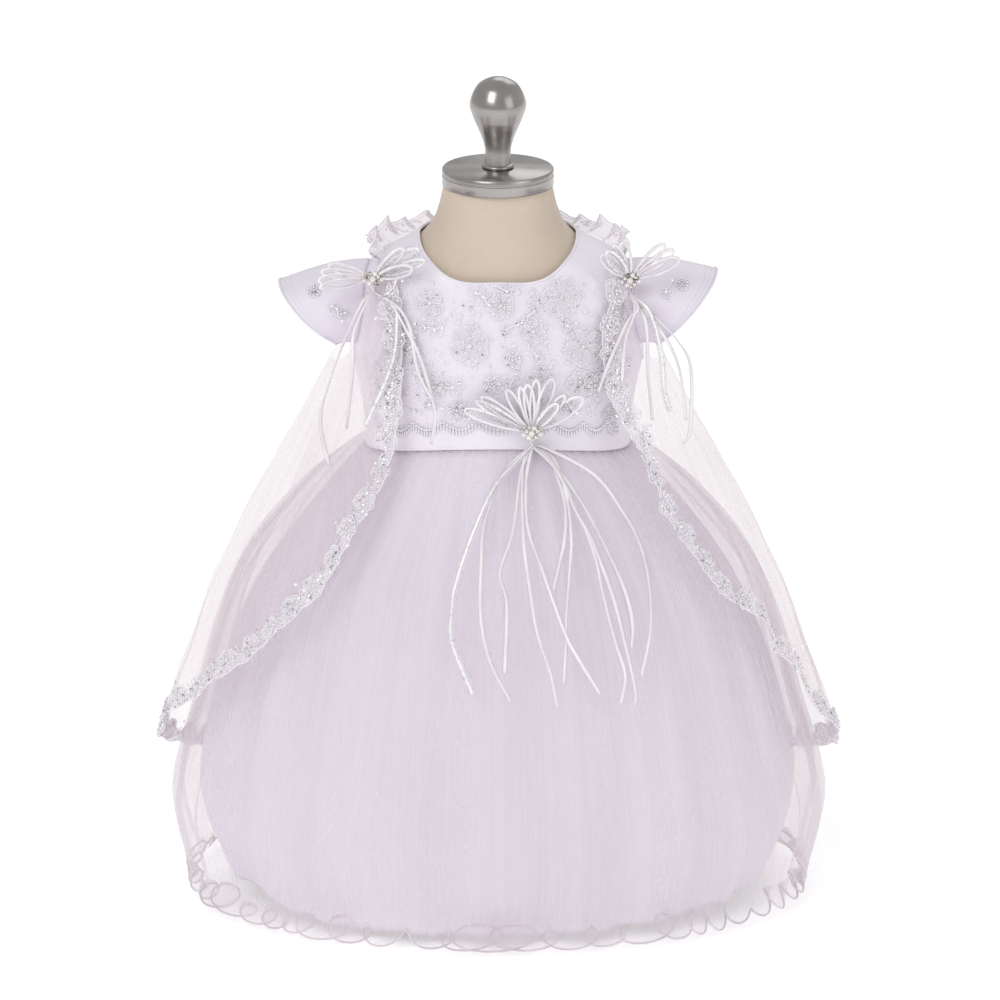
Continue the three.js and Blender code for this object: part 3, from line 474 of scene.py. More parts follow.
def add_grid(bm, columns, rows, place, size=(1.0, 1.0), which=0):
    """A grid placed in millimetres. size is what its pattern covers, in metres."""
    layer = bm.loops.layers.uv.verify()
    made, flat = add_plain_grid(bm, columns, rows, lambda u, v: place(u, v) * MM, which)
    where = {v: tuple(f) for v, f in zip(made, flat * size)}
    for face in faces_of(made):
        for loop in face.loops:
            loop[layer].uv = where[loop.vert]


def merge(bm):
    bmesh.ops.remove_doubles(bm, verts=bm.verts, dist=2e-6)


def new_object(name, bm):
    """An object in the scene with what was modelled."""
    mesh = bpy.data.meshes.new(name)
    bm.to_mesh(mesh)
    bm.free()
    obj = bpy.data.objects.new(name, mesh)
    bpy.context.scene.collection.objects.link(obj)
    return obj


def piece(name, bm, materials, slot, replaced=(), outward=False, sharp=None, thickness=0.0):
    """Turns what was modelled into a piece of the gown."""
    bmesh.ops.recalc_face_normals(bm, faces=bm.faces)
    if outward:
        turned = sum(f.normal.dot(Vector((*f.calc_center_median().xy, 0))) for f in bm.faces)
        if turned < 0:
            bmesh.ops.reverse_faces(bm, faces=bm.faces)
    obj = new_object(name, bm)
    obj.data.shade_smooth()
    if sharp:
        obj.data.set_sharp_from_angle(angle=math.radians(sharp))
    for m in materials:
        obj.data.materials.append(m)
    if thickness:
        wall = obj.modifiers.new("wall", "SOLIDIFY")
        wall.thickness = thickness * MM
        wall.offset = -1
    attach(obj, "root")
    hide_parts(*replaced)
    return obj


def cloth(name, columns, rows, place, size, material, slot, replaced=(), thickness=0.0):
    bm = bmesh.new()
    add_grid(bm, columns, rows, place, size)
    return piece(name, bm, [material], slot, replaced, True, None, thickness)


def turned_piece(name, profile, material, slot, replaced, steps=96):
    """A piece turned on a lathe, from its profile of radius and height."""
    bm = bmesh.new()
    line = [bm.verts.new((r * MM, 0, z * MM)) for r, z in profile]
    for a, b in zip(line, line[1:]):
        bm.edges.new((a, b))
    bmesh.ops.spin(
        bm, geom=bm.verts[:] + bm.edges[:], cent=(0, 0, 0), axis=(0, 0, 1),
        angle=2 * math.pi, steps=steps, use_merge=True,
    )
    merge(bm)
    return piece(name, bm, [material], slot, replaced, sharp=50)


def carried(path):
    """Directions along and beside a line that turn with it as little as they can."""
    ahead = unit(np.gradient(path, axis=0))
    beside = np.empty_like(path)
    start = np.cross(ahead[0], (0, 1, 0.2))
    if np.linalg.norm(start) < 0.1:
        start = np.cross(ahead[0], (1, 0, 0.2))
    side = unit(start)
    for i, t in enumerate(ahead):
        side = unit(side - t * np.dot(side, t))
        beside[i] = side
    return ahead, beside


def add_cord(bm, path, wide, thick=None, sides=6, beside=None, closed=False, which=0):
    """A cord or flat ribbon along a line, with round or flat sections and closed ends."""
    path = np.asarray(path, float)
    ahead, side = carried(path)
    if beside is not None:
        beside = np.broadcast_to(beside, path.shape)
        side = unit(beside - ahead * np.sum(ahead * beside, -1, keepdims=True))
    up = np.cross(ahead, side)
    half = np.broadcast_to(np.asarray(wide, float) / 2, len(path)).copy()
    flat = half.copy() if thick is None else np.full(len(path), thick / 2)
    if not closed:
        path = path[[0, *range(len(path)), -1]]
        side, up = (a[[0, *range(len(a)), -1]] for a in (side, up))
        half, flat = np.concatenate([[0], half, [0]]), np.concatenate([[0], flat, [0]])
    else:
        path, side, up = (np.vstack([a, a[:1]]) for a in (path, side, up))
        half, flat = np.append(half, half[0]), np.append(flat, flat[0])
    last = len(path) - 1

    def place(u, v):
        i = np.rint(u * last).astype(int)
        turn = 2 * np.pi * v
        return (
            path[i] + side[i] * (half[i] * np.cos(turn))[:, None]
            + up[i] * (flat[i] * np.sin(turn))[:, None]
        )

    add_grid(bm, last, sides, place, which=which)


def add_bead(bm, centre, radius, which=2, fine=1, squash=1.0):
    """A round bead, or one that is shallower from front to back."""
    made = bmesh.ops.create_icosphere(bm, subdivisions=fine, radius=radius)["verts"]
    for v in made:
        v.co = Vector(centre) + Vector((v.co.x, v.co.y * squash, v.co.z))
    paint(made, which)


def add_sequin(bm, centre, radius):
    """A small cupped disc."""
    made = bmesh.ops.create_circle(bm, cap_ends=True, cap_tris=True, segments=8, radius=radius)["verts"]
    for v in made:
        v.co = Vector(centre) + Vector((v.co.x, v.co.y, 0.35 * v.co.xy.length))
    paint(made, 1)


def pattern(build):
    """A small motif, modelled flat in millimetres: right, up and out from the cloth."""
    bm = bmesh.new()
    build(bm)
    bmesh.ops.remove_doubles(bm, verts=bm.verts, dist=1e-3)
    bmesh.ops.recalc_face_normals(bm, faces=bm.faces)
    mesh = bpy.data.meshes.new("pattern")
    bm.to_mesh(mesh)
    bm.free()
    return mesh


def add_loop(bm, path, width):
    """A cord of a motif, in the motif's own millimetres, narrower at its ends."""
    path = np.asarray(path, float)
    ahead = unit(np.gradient(path, axis=0))
    out = np.array((0, 0, 1.0))
    side = unit(np.cross(ahead, out))
    last = len(path) - 1

    def place(u, v):
        i = np.rint(u * last).astype(int)
        turn = 2 * np.pi * v
        reach = width / 2 * np.where((i == 0) | (i == last), 0.3, 1.0)
        return path[i] + side[i] * (reach * np.cos(turn))[:, None] + out * (reach * np.sin(turn))[:, None]

    add_plain_grid(bm, last, 4, place)


def add_petal(bm, length, breadth, turn, foot, rise):
    """A cupped petal with a corded edge."""
    c, s = math.cos(turn), math.sin(turn)

    def outline(t, across):
        along = foot + length * t
        half = breadth / 2 * np.sin(np.pi * np.clip(0.08 + 0.9 * t, 0, 1)) ** 0.6
        side = half * across
        return c * along - s * side, s * along + c * side

    def place(u, v):
        across = 2 * u - 1
        x, y = outline(v, across)
        return np.stack([x, y, 0.25 + rise * (0.35 + 0.65 * across**2) * np.sin(np.pi * v * 0.8)], -1)

    add_plain_grid(bm, 3, 4, place, 3)
    t = np.concatenate([np.linspace(0, 1, 7), np.linspace(1, 0, 7)[1:]])
    side = np.concatenate([np.ones(7), -np.ones(6)])
    x, y = outline(t, side)
    edge = np.stack([x, y, 0.35 + rise * np.sin(np.pi * t * 0.8)], -1)
    add_loop(bm, edge, 0.6)


def flower(radius, petals=5):
    """A flat flower: sheer corded petals, beads at their hearts and tips, and a pearl."""

    def build(bm):
        for k in range(petals):
            turn = 2 * math.pi * k / petals + 0.3
            add_petal(bm, radius * 0.80, radius * 0.94, turn, radius * 0.2, radius * 0.05)
            for reach, size in ((0.36, 0.75), (0.74, 0.95)):
                at = (radius * reach * math.cos(turn), radius * reach * math.sin(turn), 1.0)
                add_bead(bm, at, size, 1)
        add_bead(bm, (0, 0, 0.9), radius * 0.06 + 0.6, 2, 2)

    return pattern(build)


def sprig(length, leaves=3):
    """A curved stem with pairs of leaves and a few sequins."""

    def build(bm):
        t = np.linspace(0, 1, 9)
        stem = np.stack([length * t, 0.18 * length * np.sin(np.pi * t * 1.3), 0 * t + 0.4], -1)
        add_loop(bm, stem, 0.8)
        for k in range(leaves):
            at = stem[2 + 2 * k]
            for side in (1, -1):
                turn = side * (0.9 - 0.15 * k)
                c, s = math.cos(turn), math.sin(turn)
                reach = length * (0.36 - 0.06 * k)
                u = np.linspace(0, 1, 6)
                bow = 0.28 * reach * np.sin(np.pi * u)
                over, under = (
                    np.stack([at[0] + c * reach * u - s * b, at[1] + s * reach * u + c * b, 0 * u + 0.45], -1)
                    for b in (bow, -bow)
                )
                add_loop(bm, np.vstack([over, under[::-1][1:]]), 0.6)
            add_sequin(bm, (at[0], at[1] + 0.4, 0.9), 1.0)
        add_sequin(bm, (length, stem[-1][1], 0.9), 1.1)

    return pattern(build)


def stamp(bm, motif, place):
    """A copy of a motif in a piece, where place() puts its points."""
    start = len(bm.verts)
    bm.from_mesh(motif)
    bm.verts.ensure_lookup_table()
    made = bm.verts[start:]
    points = place(np.array([v.co[:] for v in made])) * MM
    for v, p in zip(made, points):
        v.co = p


def turned_by(points, degrees, scale=1.0):
    """A motif's points, turned on the cloth and enlarged."""
    c, s = (f(math.radians(degrees)) * scale for f in (math.cos, math.sin))
    x, y, z = points.T
    return np.stack([c * x - s * y, s * x + c * y, z * scale], -1)


def in_plane(centre, right, up, out):
    """A placing that puts a motif flat on the cloth at a point."""
    return lambda p: centre + p[:, :1] * right + p[:, 1:2] * up + p[:, 2:] * out


# The camera, the light and the floor


def aim(obj, target):
    """Turns a camera or a lamp towards a point."""
    obj.rotation_mode = "QUATERNION"
    obj.rotation_quaternion = (target - obj.location).to_track_quat("-Z", "Y")


def set_stage():
    scene = bpy.context.scene
    scene.view_settings.view_transform = "Standard"
    scene.cycles.transparent_max_bounces = 12
    scene.cycles.max_bounces, scene.cycles.diffuse_bounces, scene.cycles.glossy_bounces = 5, 3, 2
    camera = bpy.data.objects.new("camera", bpy.data.cameras.new("camera"))
    scene.collection.objects.link(camera)
    scene.camera = camera
    tilt = math.radians(CAMERA_TILT)
    target = Vector((0.0014, 0, 0.280))
    back = Vector((0, -math.cos(tilt), math.sin(tilt)))
    camera.location = target + back * CAMERA_DISTANCE
    aim(camera, target)
    camera.data.lens = 260.9
    camera.data.sensor_width = 36
    camera.data.clip_start, camera.data.clip_end = 0.1, 40
    lights = (
        ("key_softbox", (-1.4, -2.2, 2.5), 1.6, 27),
        ("fill_softbox", (2.2, -1.8, 1.4), 1.6, 7),
        ("back_softbox", (0.6, 2.4, 2.4), 1.8, 10),
    )
    for name, place, size, power in lights:
        light = bpy.data.objects.new(name, bpy.data.lights.new(name, "AREA"))
        light.data.size, light.data.energy = size, power
        light.location = place
        aim(light, Vector((0, 0, 0.3)))
        scene.collection.objects.link(light)
    world = bpy.data.worlds.new("studio")
    scene.world = world
    world.use_nodes = True
    sky = world.node_tree.nodes["Background"]
    sky.inputs["Color"].default_value = (1, 1, 1, 1)
    sky.inputs["Strength"].default_value = 0.6
    bm = bmesh.new()
    bmesh.ops.create_grid(bm, x_segments=1, y_segments=1, size=8)
    floor = new_object("studio_floor", bm)
    m = Maker("white_paper_floor")
    colour = m.toned((3, 3, 3), 2, (0.90, 0.90, 0.90), (0.92, 0.92, 0.92))
    paper = m.shader(colour, 0.9, Emission_Color=(1, 1, 1), Emission_Strength=0.38)
    floor.data.materials.append(m.done(paper))


# The dress form


def make_form():
    low, high = TORSO["height"][-1], TORSO["height"][0]

    def cover(u, v):
        rim = 0.05  # the share of the rows that close each end
        height = low + (high - low) * np.clip((v - rim) / (1 - 2 * rim), 0, 1)
        inwards = np.minimum(np.minimum(v, 1 - v) / rim, 1)
        p = on_table(TORSO, 360 * u, height)
        p[:, :2] *= inwards[:, None]
        return p

    bm = bmesh.new()
    add_grid(bm, 144, 120, cover, (0.6, 0.3))
    merge(bm)
    piece("form_cover", bm, [LINEN], "linen", ["form_torso"], sharp=50)
    under, top, rim = 505.3, 517.3, 38
    turned_piece(
        "neck_cap",
        [(0, under), (rim - 0.8, under), (rim, under + 0.8), (rim, top - 5), (rim - 0.5, top - 4.6),
         (rim - 0.5, top - 4), (rim, top - 3.6), (rim, top - 0.8), (rim - 0.8, top), (0, top)],
        STEEL, "steel", ["form_neck_cap"],
    )
    foot, ball, height = 517.6, 19.2, 561.5
    line = spline(
        [(9.2, foot), (8.8, foot + 12), (11.4, foot + 22), (ball - 2.4, height - 9), (ball, height + 1),
         (ball - 4.6, height + 12.5), (ball - 12, height + 17.8), (0, height + ball)], 8,
    )
    base = [
        (0, foot), (10.6, foot), (11, foot + 0.5), (11, foot + 1.6), (10.4, foot + 2.2), (9.2, foot + 2.6),
    ]
    turned_piece("finial", [*base, *[tuple(p) for p in line[3:]]], STEEL, "steel", ["form_finial"], 72)
    for node in ("form_foot", "form_pole"):
        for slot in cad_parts[node].material_slots:
            slot.material = STEEL


# The bodice and its sleeves


def solid(name, bm):
    """A closed mesh to cut from, or to cut with."""
    bmesh.ops.recalc_face_normals(bm, faces=bm.faces)
    return new_object(name, bm)


def cutter(name, segments, place):
    """A closed prism whose points place() puts."""
    bm = bmesh.new()
    bmesh.ops.create_cone(bm, cap_ends=True, segments=segments, radius1=1, radius2=1, depth=1)
    for v in bm.verts:
        v.co = Vector(place(v.co)) * MM
    return solid(name, bm)


def cut_by(obj, tool):
    """Takes one solid away from another, and removes the one that cut."""
    cut = obj.modifiers.new("cut", "BOOLEAN")
    cut.operation, cut.solver, cut.object = "DIFFERENCE", "EXACT", tool
    graph = bpy.context.evaluated_depsgraph_get()
    made = bpy.data.meshes.new_from_object(obj.evaluated_get(graph))
    obj.modifiers.clear()
    obj.data = made
    bpy.data.objects.remove(tool)


def bodice_shell():
    """The whole bodice, open at the waist, the neck and the armholes."""
    rows = 54

    def wall(u, v):
        turn = 2 * v
        inside = turn > 1
        up = np.where(inside, 2 - turn, turn)
        angle = 360 * u
        low = waist_height(angle)
        height = low + (BODICE_TOP - low) * up
        return off_table(BODICE, angle, height, np.where(inside, -BODICE_WALL, 0.0))

    bm = bmesh.new()
    add_grid(bm, 132, 2 * rows + 1, wall, (0.6, 0.16))
    merge(bm)
    ends = [e for e in bm.edges if e.is_boundary]
    bmesh.ops.bridge_loops(bm, edges=ends)
    shell = solid("shell", bm)
    neck = cutter("neck", 160, lambda p: (*neck_outline(math.atan2(p.x, -p.y)), 450 + 100 * p.z))
    arms = cutter("arms", 120, lambda p: (
        600 * p.z, ARMHOLE_HALF_DEPTH * p.y, ARMHOLE_CENTRE + ARMHOLE_HALF_HEIGHT * p.x,
    ))
    cut_by(shell, neck)
    cut_by(shell, arms)
    return shell


def section_edge(place, count):
    """The points of a closed edge, from the point at each turn round it."""
    return np.array([place(t) for t in np.linspace(0, 2 * math.pi, count, endpoint=False)])


def neck_outline(turn):
    """The neckline as seen from above: round at the back and squarer at the front."""
    across, ahead = math.sin(turn), math.cos(turn)
    if ahead <= 0:
        return NECK_HALF_WIDTH * across, -NECK_BACK_DEPTH * ahead
    power = 2 / NECK_FRONT_SQUARENESS
    x = math.copysign(NECK_HALF_WIDTH * abs(across) ** power, across)
    return x, -NECK_FRONT_DEPTH * ahead**power


def neck_edge(turn):
    """A point of the neckline, where its upright cut meets the bodice's outside."""
    x, y = neck_outline(turn)
    low, high = 430.0, BODICE["height"][0]
    for _ in range(30):
        middle = (low + high) / 2
        width = read(BODICE, "height", "width", middle)
        reach = read(BODICE, "height", "front" if y < 0 else "back", middle)
        inside = (abs(x) / width) ** SQUARENESS + (abs(y) / reach) ** SQUARENESS < 1
        low, high = (middle, high) if inside else (low, middle)
    return x, y, low


def arm_edge(turn, side):
    """A point of an armhole's edge, on the bodice's outside."""
    y = ARMHOLE_HALF_DEPTH * math.sin(turn)
    height = ARMHOLE_CENTRE + ARMHOLE_HALF_HEIGHT * math.cos(turn)
    width = read(BODICE, "height", "width", height)
    depth = read(BODICE, "height", "front" if y < 0 else "back", height)
    return side * width * (1 - abs(y / depth) ** SQUARENESS) ** (1 / SQUARENESS), y, height


def cut_away(bm, place, towards):
    """Cuts a solid on a plane, takes off the side that faces one way and closes the cut."""
    bmesh.ops.bisect_plane(
        bm, geom=bm.verts[:] + bm.edges[:] + bm.faces[:], plane_co=place, plane_no=towards,
        clear_outer=True,
    )
    bmesh.ops.holes_fill(bm, edges=[e for e in bm.edges if e.is_boundary], sides=0)


def make_bodice():
    shell = bodice_shell()
    gap = 0.15 * MM
    front, behind = ((0, -gap, 0), (0, 1, 0)), ((0, gap, 0), (0, -1, 0))
    left, right = ((-gap, 0, 0), (1, 0, 0)), ((gap, 0, 0), (-1, 0, 0))
    panels = (
        ("bodice_front_panel", "bodice_front", [front], 0.036),
        ("bodice_back_panel_left", "bodice_back_left", [behind, left], 0.018),
        ("bodice_back_panel_right", "bodice_back_right", [behind, right], 0.018),
    )
    for name, node, cuts, area in panels:
        bm = bmesh.new()
        bm.from_mesh(shell.data)
        for place, towards in cuts:
            cut_away(bm, place, towards)
        panel = piece(name, bm, [BODICE_SATIN], "satin", [node], sharp=40)
    bpy.data.objects.remove(shell)
    bm = bmesh.new()
    add_cord(bm, section_edge(neck_edge, 180), 2.0, closed=True)
    for side in (-1, 1):
        add_cord(bm, section_edge(lambda t, s=side: arm_edge(t, s), 120), 1.8, closed=True)
    merge(bm)
    piece("bodice_bindings", bm, [BODICE_SATIN], "satin")
    bm = bmesh.new()
    for height in (346, 387, 428):
        depth = read(BODICE, "height", "back", height)
        centre = np.array((5.0, depth + 1.9, height))
        made = bmesh.ops.create_uvsphere(bm, u_segments=24, v_segments=14, radius=1)["verts"]
        for v in made:
            v.co = Vector(centre + np.array((4 * v.co.x, 1.6 * v.co.y, 4 * v.co.z))) * MM
    piece("back_pearl_buttons", bm, [PEARL], "pearl", ["back_button_1", "back_button_2", "back_button_3"])


def sleeve_point(angle, out, side, lift):
    """A point of a cap sleeve: angle goes round the armhole, and out from the seam to the hem."""
    angle, out = np.broadcast_arrays(np.asarray(angle, float), np.asarray(out, float))
    turn = np.abs(angle)
    y = (ARMHOLE_HALF_DEPTH + 1.5) * np.sin(np.radians(angle))
    z = ARMHOLE_CENTRE + (ARMHOLE_HALF_HEIGHT + 1.5) * np.cos(np.radians(angle))
    width = read(BODICE, "height", "width", z)
    depth = np.where(y < 0, read(BODICE, "height", "front", z), read(BODICE, "height", "back", z))
    share = np.abs(y / depth) ** SQUARENESS
    root = np.stack([width * (1 - share) ** (1 / SQUARENESS) + 2.0, y, z], -1)
    raise_by = lift * np.cos(np.radians(turn * 0.75))
    hem = np.stack([
        read(SLEEVE_HEM, "angle", "out", turn),
        np.sign(angle) * read(SLEEVE_HEM, "angle", "forward", turn) - 3 * np.cos(np.radians(turn)),
        read(SLEEVE_HEM, "angle", "height", turn) + raise_by,
    ], -1)
    p = root + (hem - root) * np.asarray(out)[..., None]
    crown = 3 * np.sin(np.pi * out) * np.cos(np.radians(turn * 0.6))
    ease = 0.5 * np.sin(np.radians(angle * 9)) * (1 - out) * np.minimum(out * 6, 1)
    p[..., 2] += crown + ease
    p[..., 0] *= side
    return p


def make_sleeves():
    for name, side, lift in (("left", -1, 0), ("right", 1, 8)):
        def place(u, v, side=side, lift=lift):
            return sleeve_point(SLEEVE_TURN * (2 * u - 1) * side, 1 - v, side, lift)

        sleeve = cloth(
            f"cap_sleeve_{name}", 96, 22, place, (0.2, 0.05), SLEEVE_SATIN, "satin",
            [f"sleeve_{name}"], 1.0,
        )
        bm = bmesh.new()
        angles = np.linspace(-SLEEVE_TURN, SLEEVE_TURN, 90)
        add_cord(bm, sleeve_point(angles, np.full(90, 0.995), side, lift), 1.5)
        for out in (0.88, 0.93):
            line = sleeve_point(angles, np.full(90, out), side, lift)
            add_cord(bm, line + (0, 0, 0.05), 0.45, sides=4)
        merge(bm)
        hem = piece(f"cap_sleeve_hem_{name}", bm, [SLEEVE_SATIN], "satin")
        bm = bmesh.new()
        for motif, angle, out, turn in (
            (sprig(15, 2), -62, 0.62, 30), (flower(5.2), -40, 0.66, 0), (sprig(11, 2), -80, 0.5, 80),
        ):
            centre = sleeve_point(angle, out, side, lift)
            right = unit(sleeve_point(angle + 2.0, out, side, lift) - centre) * side
            fall = unit(sleeve_point(angle, out + 0.05, side, lift) - centre)
            front = unit(np.cross(fall, right))
            front = front * (1 if front[1] < 0 else -1)
            flat = in_plane(centre + front * 0.4, right, -fall, front)
            stamp(bm, motif, lambda p, f=flat, t=turn: f(turned_by(p, t)))
        merge(bm)
        piece(f"cap_sleeve_embroidery_{name}", bm, WORKED, "lace")


# The lace on the bodice front


def lace_top(angle):
    """The height of the lace's upper edge, which drops at the armholes."""
    turn = np.abs(angle)
    middle = 449 + 6 * (turn / 46) ** 2
    return np.where(turn < 46, middle, 455 + (396 - 455) * smooth_step(turn, 46, 61))


def lace_low(angle):
    """The height of the lace's scalloped lower edge."""
    phase = (np.asarray(angle) / LACE_TURN + 1) / 2 * LACE_SCALLOPS % 1
    return waist_height(angle) + 16 - 6 * np.sin(np.pi * phase)


def make_bodice_lace():
    def place(u, v):
        angle = LACE_TURN * (2 * u - 1)
        height = lace_low(angle) + (lace_top(angle) - lace_low(angle)) * v
        return off_table(BODICE, angle, height, np.full(len(u), 1.2))

    ground = cloth("bodice_lace_panel", 216, 60, place, (0.22, 0.12), BODICE_LACE, "lace", ["bodice_lace"])
    flowers = {"big": flower(13.5, 6), "middle": flower(9.5), "small": flower(6.5)}
    sprigs = {"long": sprig(22), "short": sprig(14, 2)}
    motifs = (
        ("big", -19, 411, 10), ("big", 43, 441, 40), ("big", 58, 408, 0), ("middle", 24, 420, 20),
        ("middle", 29, 388, 0), ("middle", -46, 437, 30), ("middle", 2, 437, 15), ("big", -66, 404, 60),
        ("middle", -44, 382, 5), ("middle", 66, 380, 35), ("small", 10, 402, 0), ("small", -4, 386, 20),
        ("middle", -74, 372, 10), ("small", 46, 368, 0), ("small", -28, 366, 0), ("small", 78, 420, 0),
        ("small", 78, 356, 0), ("middle", 56, 384, 12),
        ("long", -22, 444, -25), ("short", 12, 450, 190), ("long", 26, 446, 250), ("long", -34, 428, 200),
        ("short", 4, 414, 60), ("long", -58, 420, 250), ("short", 34, 404, 160), ("long", 72, 400, 250),
        ("short", -60, 390, 330), ("long", -24, 392, 215), ("short", 40, 424, 330), ("short", -52, 364, 20),
        ("short", 58, 362, 150), ("long", 84, 436, 260), ("short", -84, 392, 280), ("short", 12, 378, 100),
    )
    bm = bmesh.new()
    for kind, x, z, turn in motifs:
        motif = flowers.get(kind) or sprigs[kind]

        def on_front(p, x=x, z=z, turn=turn):
            q = turned_by(p, turn)
            return front_point(x + q[:, 0], z + q[:, 1], 1.2 + q[:, 2])

        stamp(bm, motif, on_front)
    spangle = pattern(lambda b: add_bead(b, (0, 0, 0.7), 0.95, 1))
    for _ in range(80):
        x, z = random.uniform(-84, 84), random.uniform(352, 448)
        stamp(bm, spangle, lambda p, x=x, z=z: front_point(x + p[:, 0], z + p[:, 1], 1.2 + p[:, 2]))
    comb = pattern(add_comb_bead)
    dot = pattern(lambda b: add_bead(b, (0, 0, 0.8), 1.0, 0))
    teeth = LACE_SCALLOPS * 11
    for k in range(teeth):
        angle = LACE_TURN * (2 * (k + 0.5) / teeth - 1)
        if abs(angle) > 62:
            continue
        low = float(lace_low(angle))
        at = off_table(BODICE, angle, low, 1.2)
        width = math.degrees(0.01)
        right = unit(on_table(BODICE, angle + width, low) - on_table(BODICE, angle - width, low))
        out = unit(np.cross(right, (0, 0, 1)))
        for motif, lift in ((comb, 2.2), (dot, 5.2)):
            stamp(bm, motif, in_plane(at + np.array((0, 0, lift)), right, np.array((0, 0, 1.0)), out))
    merge(bm)
    work = piece("bodice_embroidery", bm, WORKED, "lace")


def add_comb_bead(bm):
    """A short bugle bead, one tooth of the combed edge."""
    add_loop(bm, [(0, -1.8, 0.6), (0, -1.6, 0.6), (0, 1.6, 0.6), (0, 1.8, 0.6)], 1.3)


# The two skirts


SATIN_HEM = table(
    "angle height",
    (-92, 20), (-75, 19), (-60, 16), (-42, 7.5), (-20, 7), (0, 7), (20, 8), (38, 11.5), (65, 15), (92, 18),
)


def satin_hem(angle):
    """The height of the satin's hem, which hangs lowest at the front and sits higher at the sides."""
    turn = (np.asarray(angle, float) + 180) % 360 - 180
    behind = 11 + 8 * np.abs(np.sin(np.radians(turn)))
    return np.where(np.abs(turn) > 90, behind, read(SATIN_HEM, "angle", "height", turn))


def satin_point(angle, down):
    """A point of the satin skirt, with its soft folds."""
    turn = np.radians(angle)
    fold = read(SATIN, "down", "fold", down)
    wave = np.cos(20 * turn) * (0.8 + 0.2 * np.sin(3 * turn))
    small = 0.6 * smooth_step(down, 0, 0.3) * np.sin(47 * turn + 3 * down) * np.sin(5 * turn + 1)
    hem = satin_hem(angle) + 1.4 * np.cos(20 * turn) + 0.8 * np.sin(31 * turn)
    top = waist_height(angle) - 0.8
    out = fold * wave + small
    width, depth = (read(SATIN, "down", c, down) + out for c in ("width", "depth"))
    return on_section(width, depth, depth, angle, top + (hem - top) * down)


def curl_size(turn):
    """How large a curl of the hem is: they are uneven, and steady from run to run."""
    return 1 + 0.3 * np.sin(11 * turn + 1) + 0.26 * np.sin(23 * turn + 2.2)


def tulle_point(angle, down):
    """A point of the overskirt. Near the hem it swings sideways and up into open curls."""
    turn = np.radians(angle)
    fold = read(TULLE, "down", "fold", down)
    gather = fold * np.cos(28 * turn) * (0.85 + 0.15 * np.sin(5 * turn))
    near = smooth_step(down, 0.02, 0.2)
    pleats = 0.6 * np.sin(83 * turn + 2 * down + np.sin(3 * turn))
    pleats = near * (pleats + 0.25 * np.sin(131 * turn + np.sin(7 * turn)))
    pleats *= 1 - smooth_step(down, 0.9, 0.97)
    curl = smooth_step(down, 0.93, 1) ** 1.4
    phase = HEM_CURLS * turn + 1.3 * np.sin(9 * turn) + 0.8 * np.sin(17 * turn + 1)
    size = curl * curl_size(turn)
    out = gather + pleats + 4.5 * size * np.cos(phase + 0.6)
    swing = 0.85 + 0.3 * np.sin(5 * turn + 0.4) + 0.25 * np.sin(13 * turn + 2)
    aside = np.degrees(10.5 * size * swing * np.sin(phase) / 185)
    rise = 5.6 * size * (1 - np.cos(phase))
    hem = 4.5 + 2 * np.sin(turn) ** 2
    top = waist_height(angle) + 0.8
    width, depth = (read(TULLE, "down", c, down) + out for c in ("width", "depth"))
    return on_section(width, depth, depth, angle + aside, top + (hem - top) * down + rise)


def denser(v):
    """Rows that lie closer together near the hem."""
    return 1 - np.where(v < 0.45, v / 0.45 * 0.1, 0.1 + (v - 0.45) / 0.55 * 0.9)


def make_skirts():
    halves = (("front", -90 + SIDE_SEAM, 90 - SIDE_SEAM), ("back", 90 + SIDE_SEAM, 270 - SIDE_SEAM))
    for name, start, end in halves:
        span = end - start
        satin = cloth(
            f"satin_skirt_{name}", 300, 64, lambda u, v: satin_point(start + span * u, 1 - v),
            (0.56, 0.37), SATIN_CLOTH, "satin", [f"skirt_satin_{name}"], 0.8,
        )
        tulle = cloth(
            f"overskirt_{name}", 560, 72, lambda u, v: tulle_point(start + span * u, denser(v)),
            (0.9, 0.40), OVERSKIRT_NET, "tulle", [f"skirt_tulle_{name}"],
        )
        bm = bmesh.new()
        angles = np.linspace(start, end, 700)
        add_cord(bm, tulle_point(angles, np.ones(700)), 1.35, sides=6)
        merge(bm)
        wire = piece(f"overskirt_hem_{name}", bm, [FILAMENT], "tulle")


# The cape


def cape_point(across, down):
    """A point of the cape: across goes from one front edge round the back to the other."""
    across, down = np.broadcast_arrays(np.asarray(across, float), np.asarray(down, float))
    right = across < 0.5
    share = np.where(right, across, 1 - across) * 2

    def pick(column):
        sides = (read(rows, "share", column, share) for rows in (CAPE_RIGHT, CAPE_LEFT))
        return np.where(right, *sides)

    top, edge = pick("top"), pick("edge")
    start, end = pick("top_angle"), pick("edge_angle")
    angle = start + (end - start) * down
    height = top + (edge - top) * down
    p = on_table(CAPE, np.where(right, angle, 360 - angle), height)
    depth = 7 * down**1.5 * smooth_step(top - edge, 60, 260)
    wave = 0.5 - 0.5 * np.cos(2 * np.pi * 19 * across)
    small = 0.35 * np.sin(2 * np.pi * 61 * across + 3 * down) * np.sin(2 * np.pi * 7 * across + 1)
    return p + level(p) * (depth * (wave + 0.35 * small))[..., None]


def trim_start(across):
    """Where the lace trim begins, as a share of the way down the cape."""
    width = np.linalg.norm(cape_point(across, 0.9) - cape_point(across, 1.0), axis=-1) * 10
    return 1 - np.minimum(15 / width, 0.97)


def cape_out(across, down):
    """The way out from the cape's cloth."""
    step = 0.002
    low, high = np.clip(across - step, 0, 1), np.clip(across + step, 0, 1)
    around = cape_point(high, down) - cape_point(low, down)
    fall = cape_point(across, down) - cape_point(across, down - 0.02)
    return unit(np.cross(fall, around))


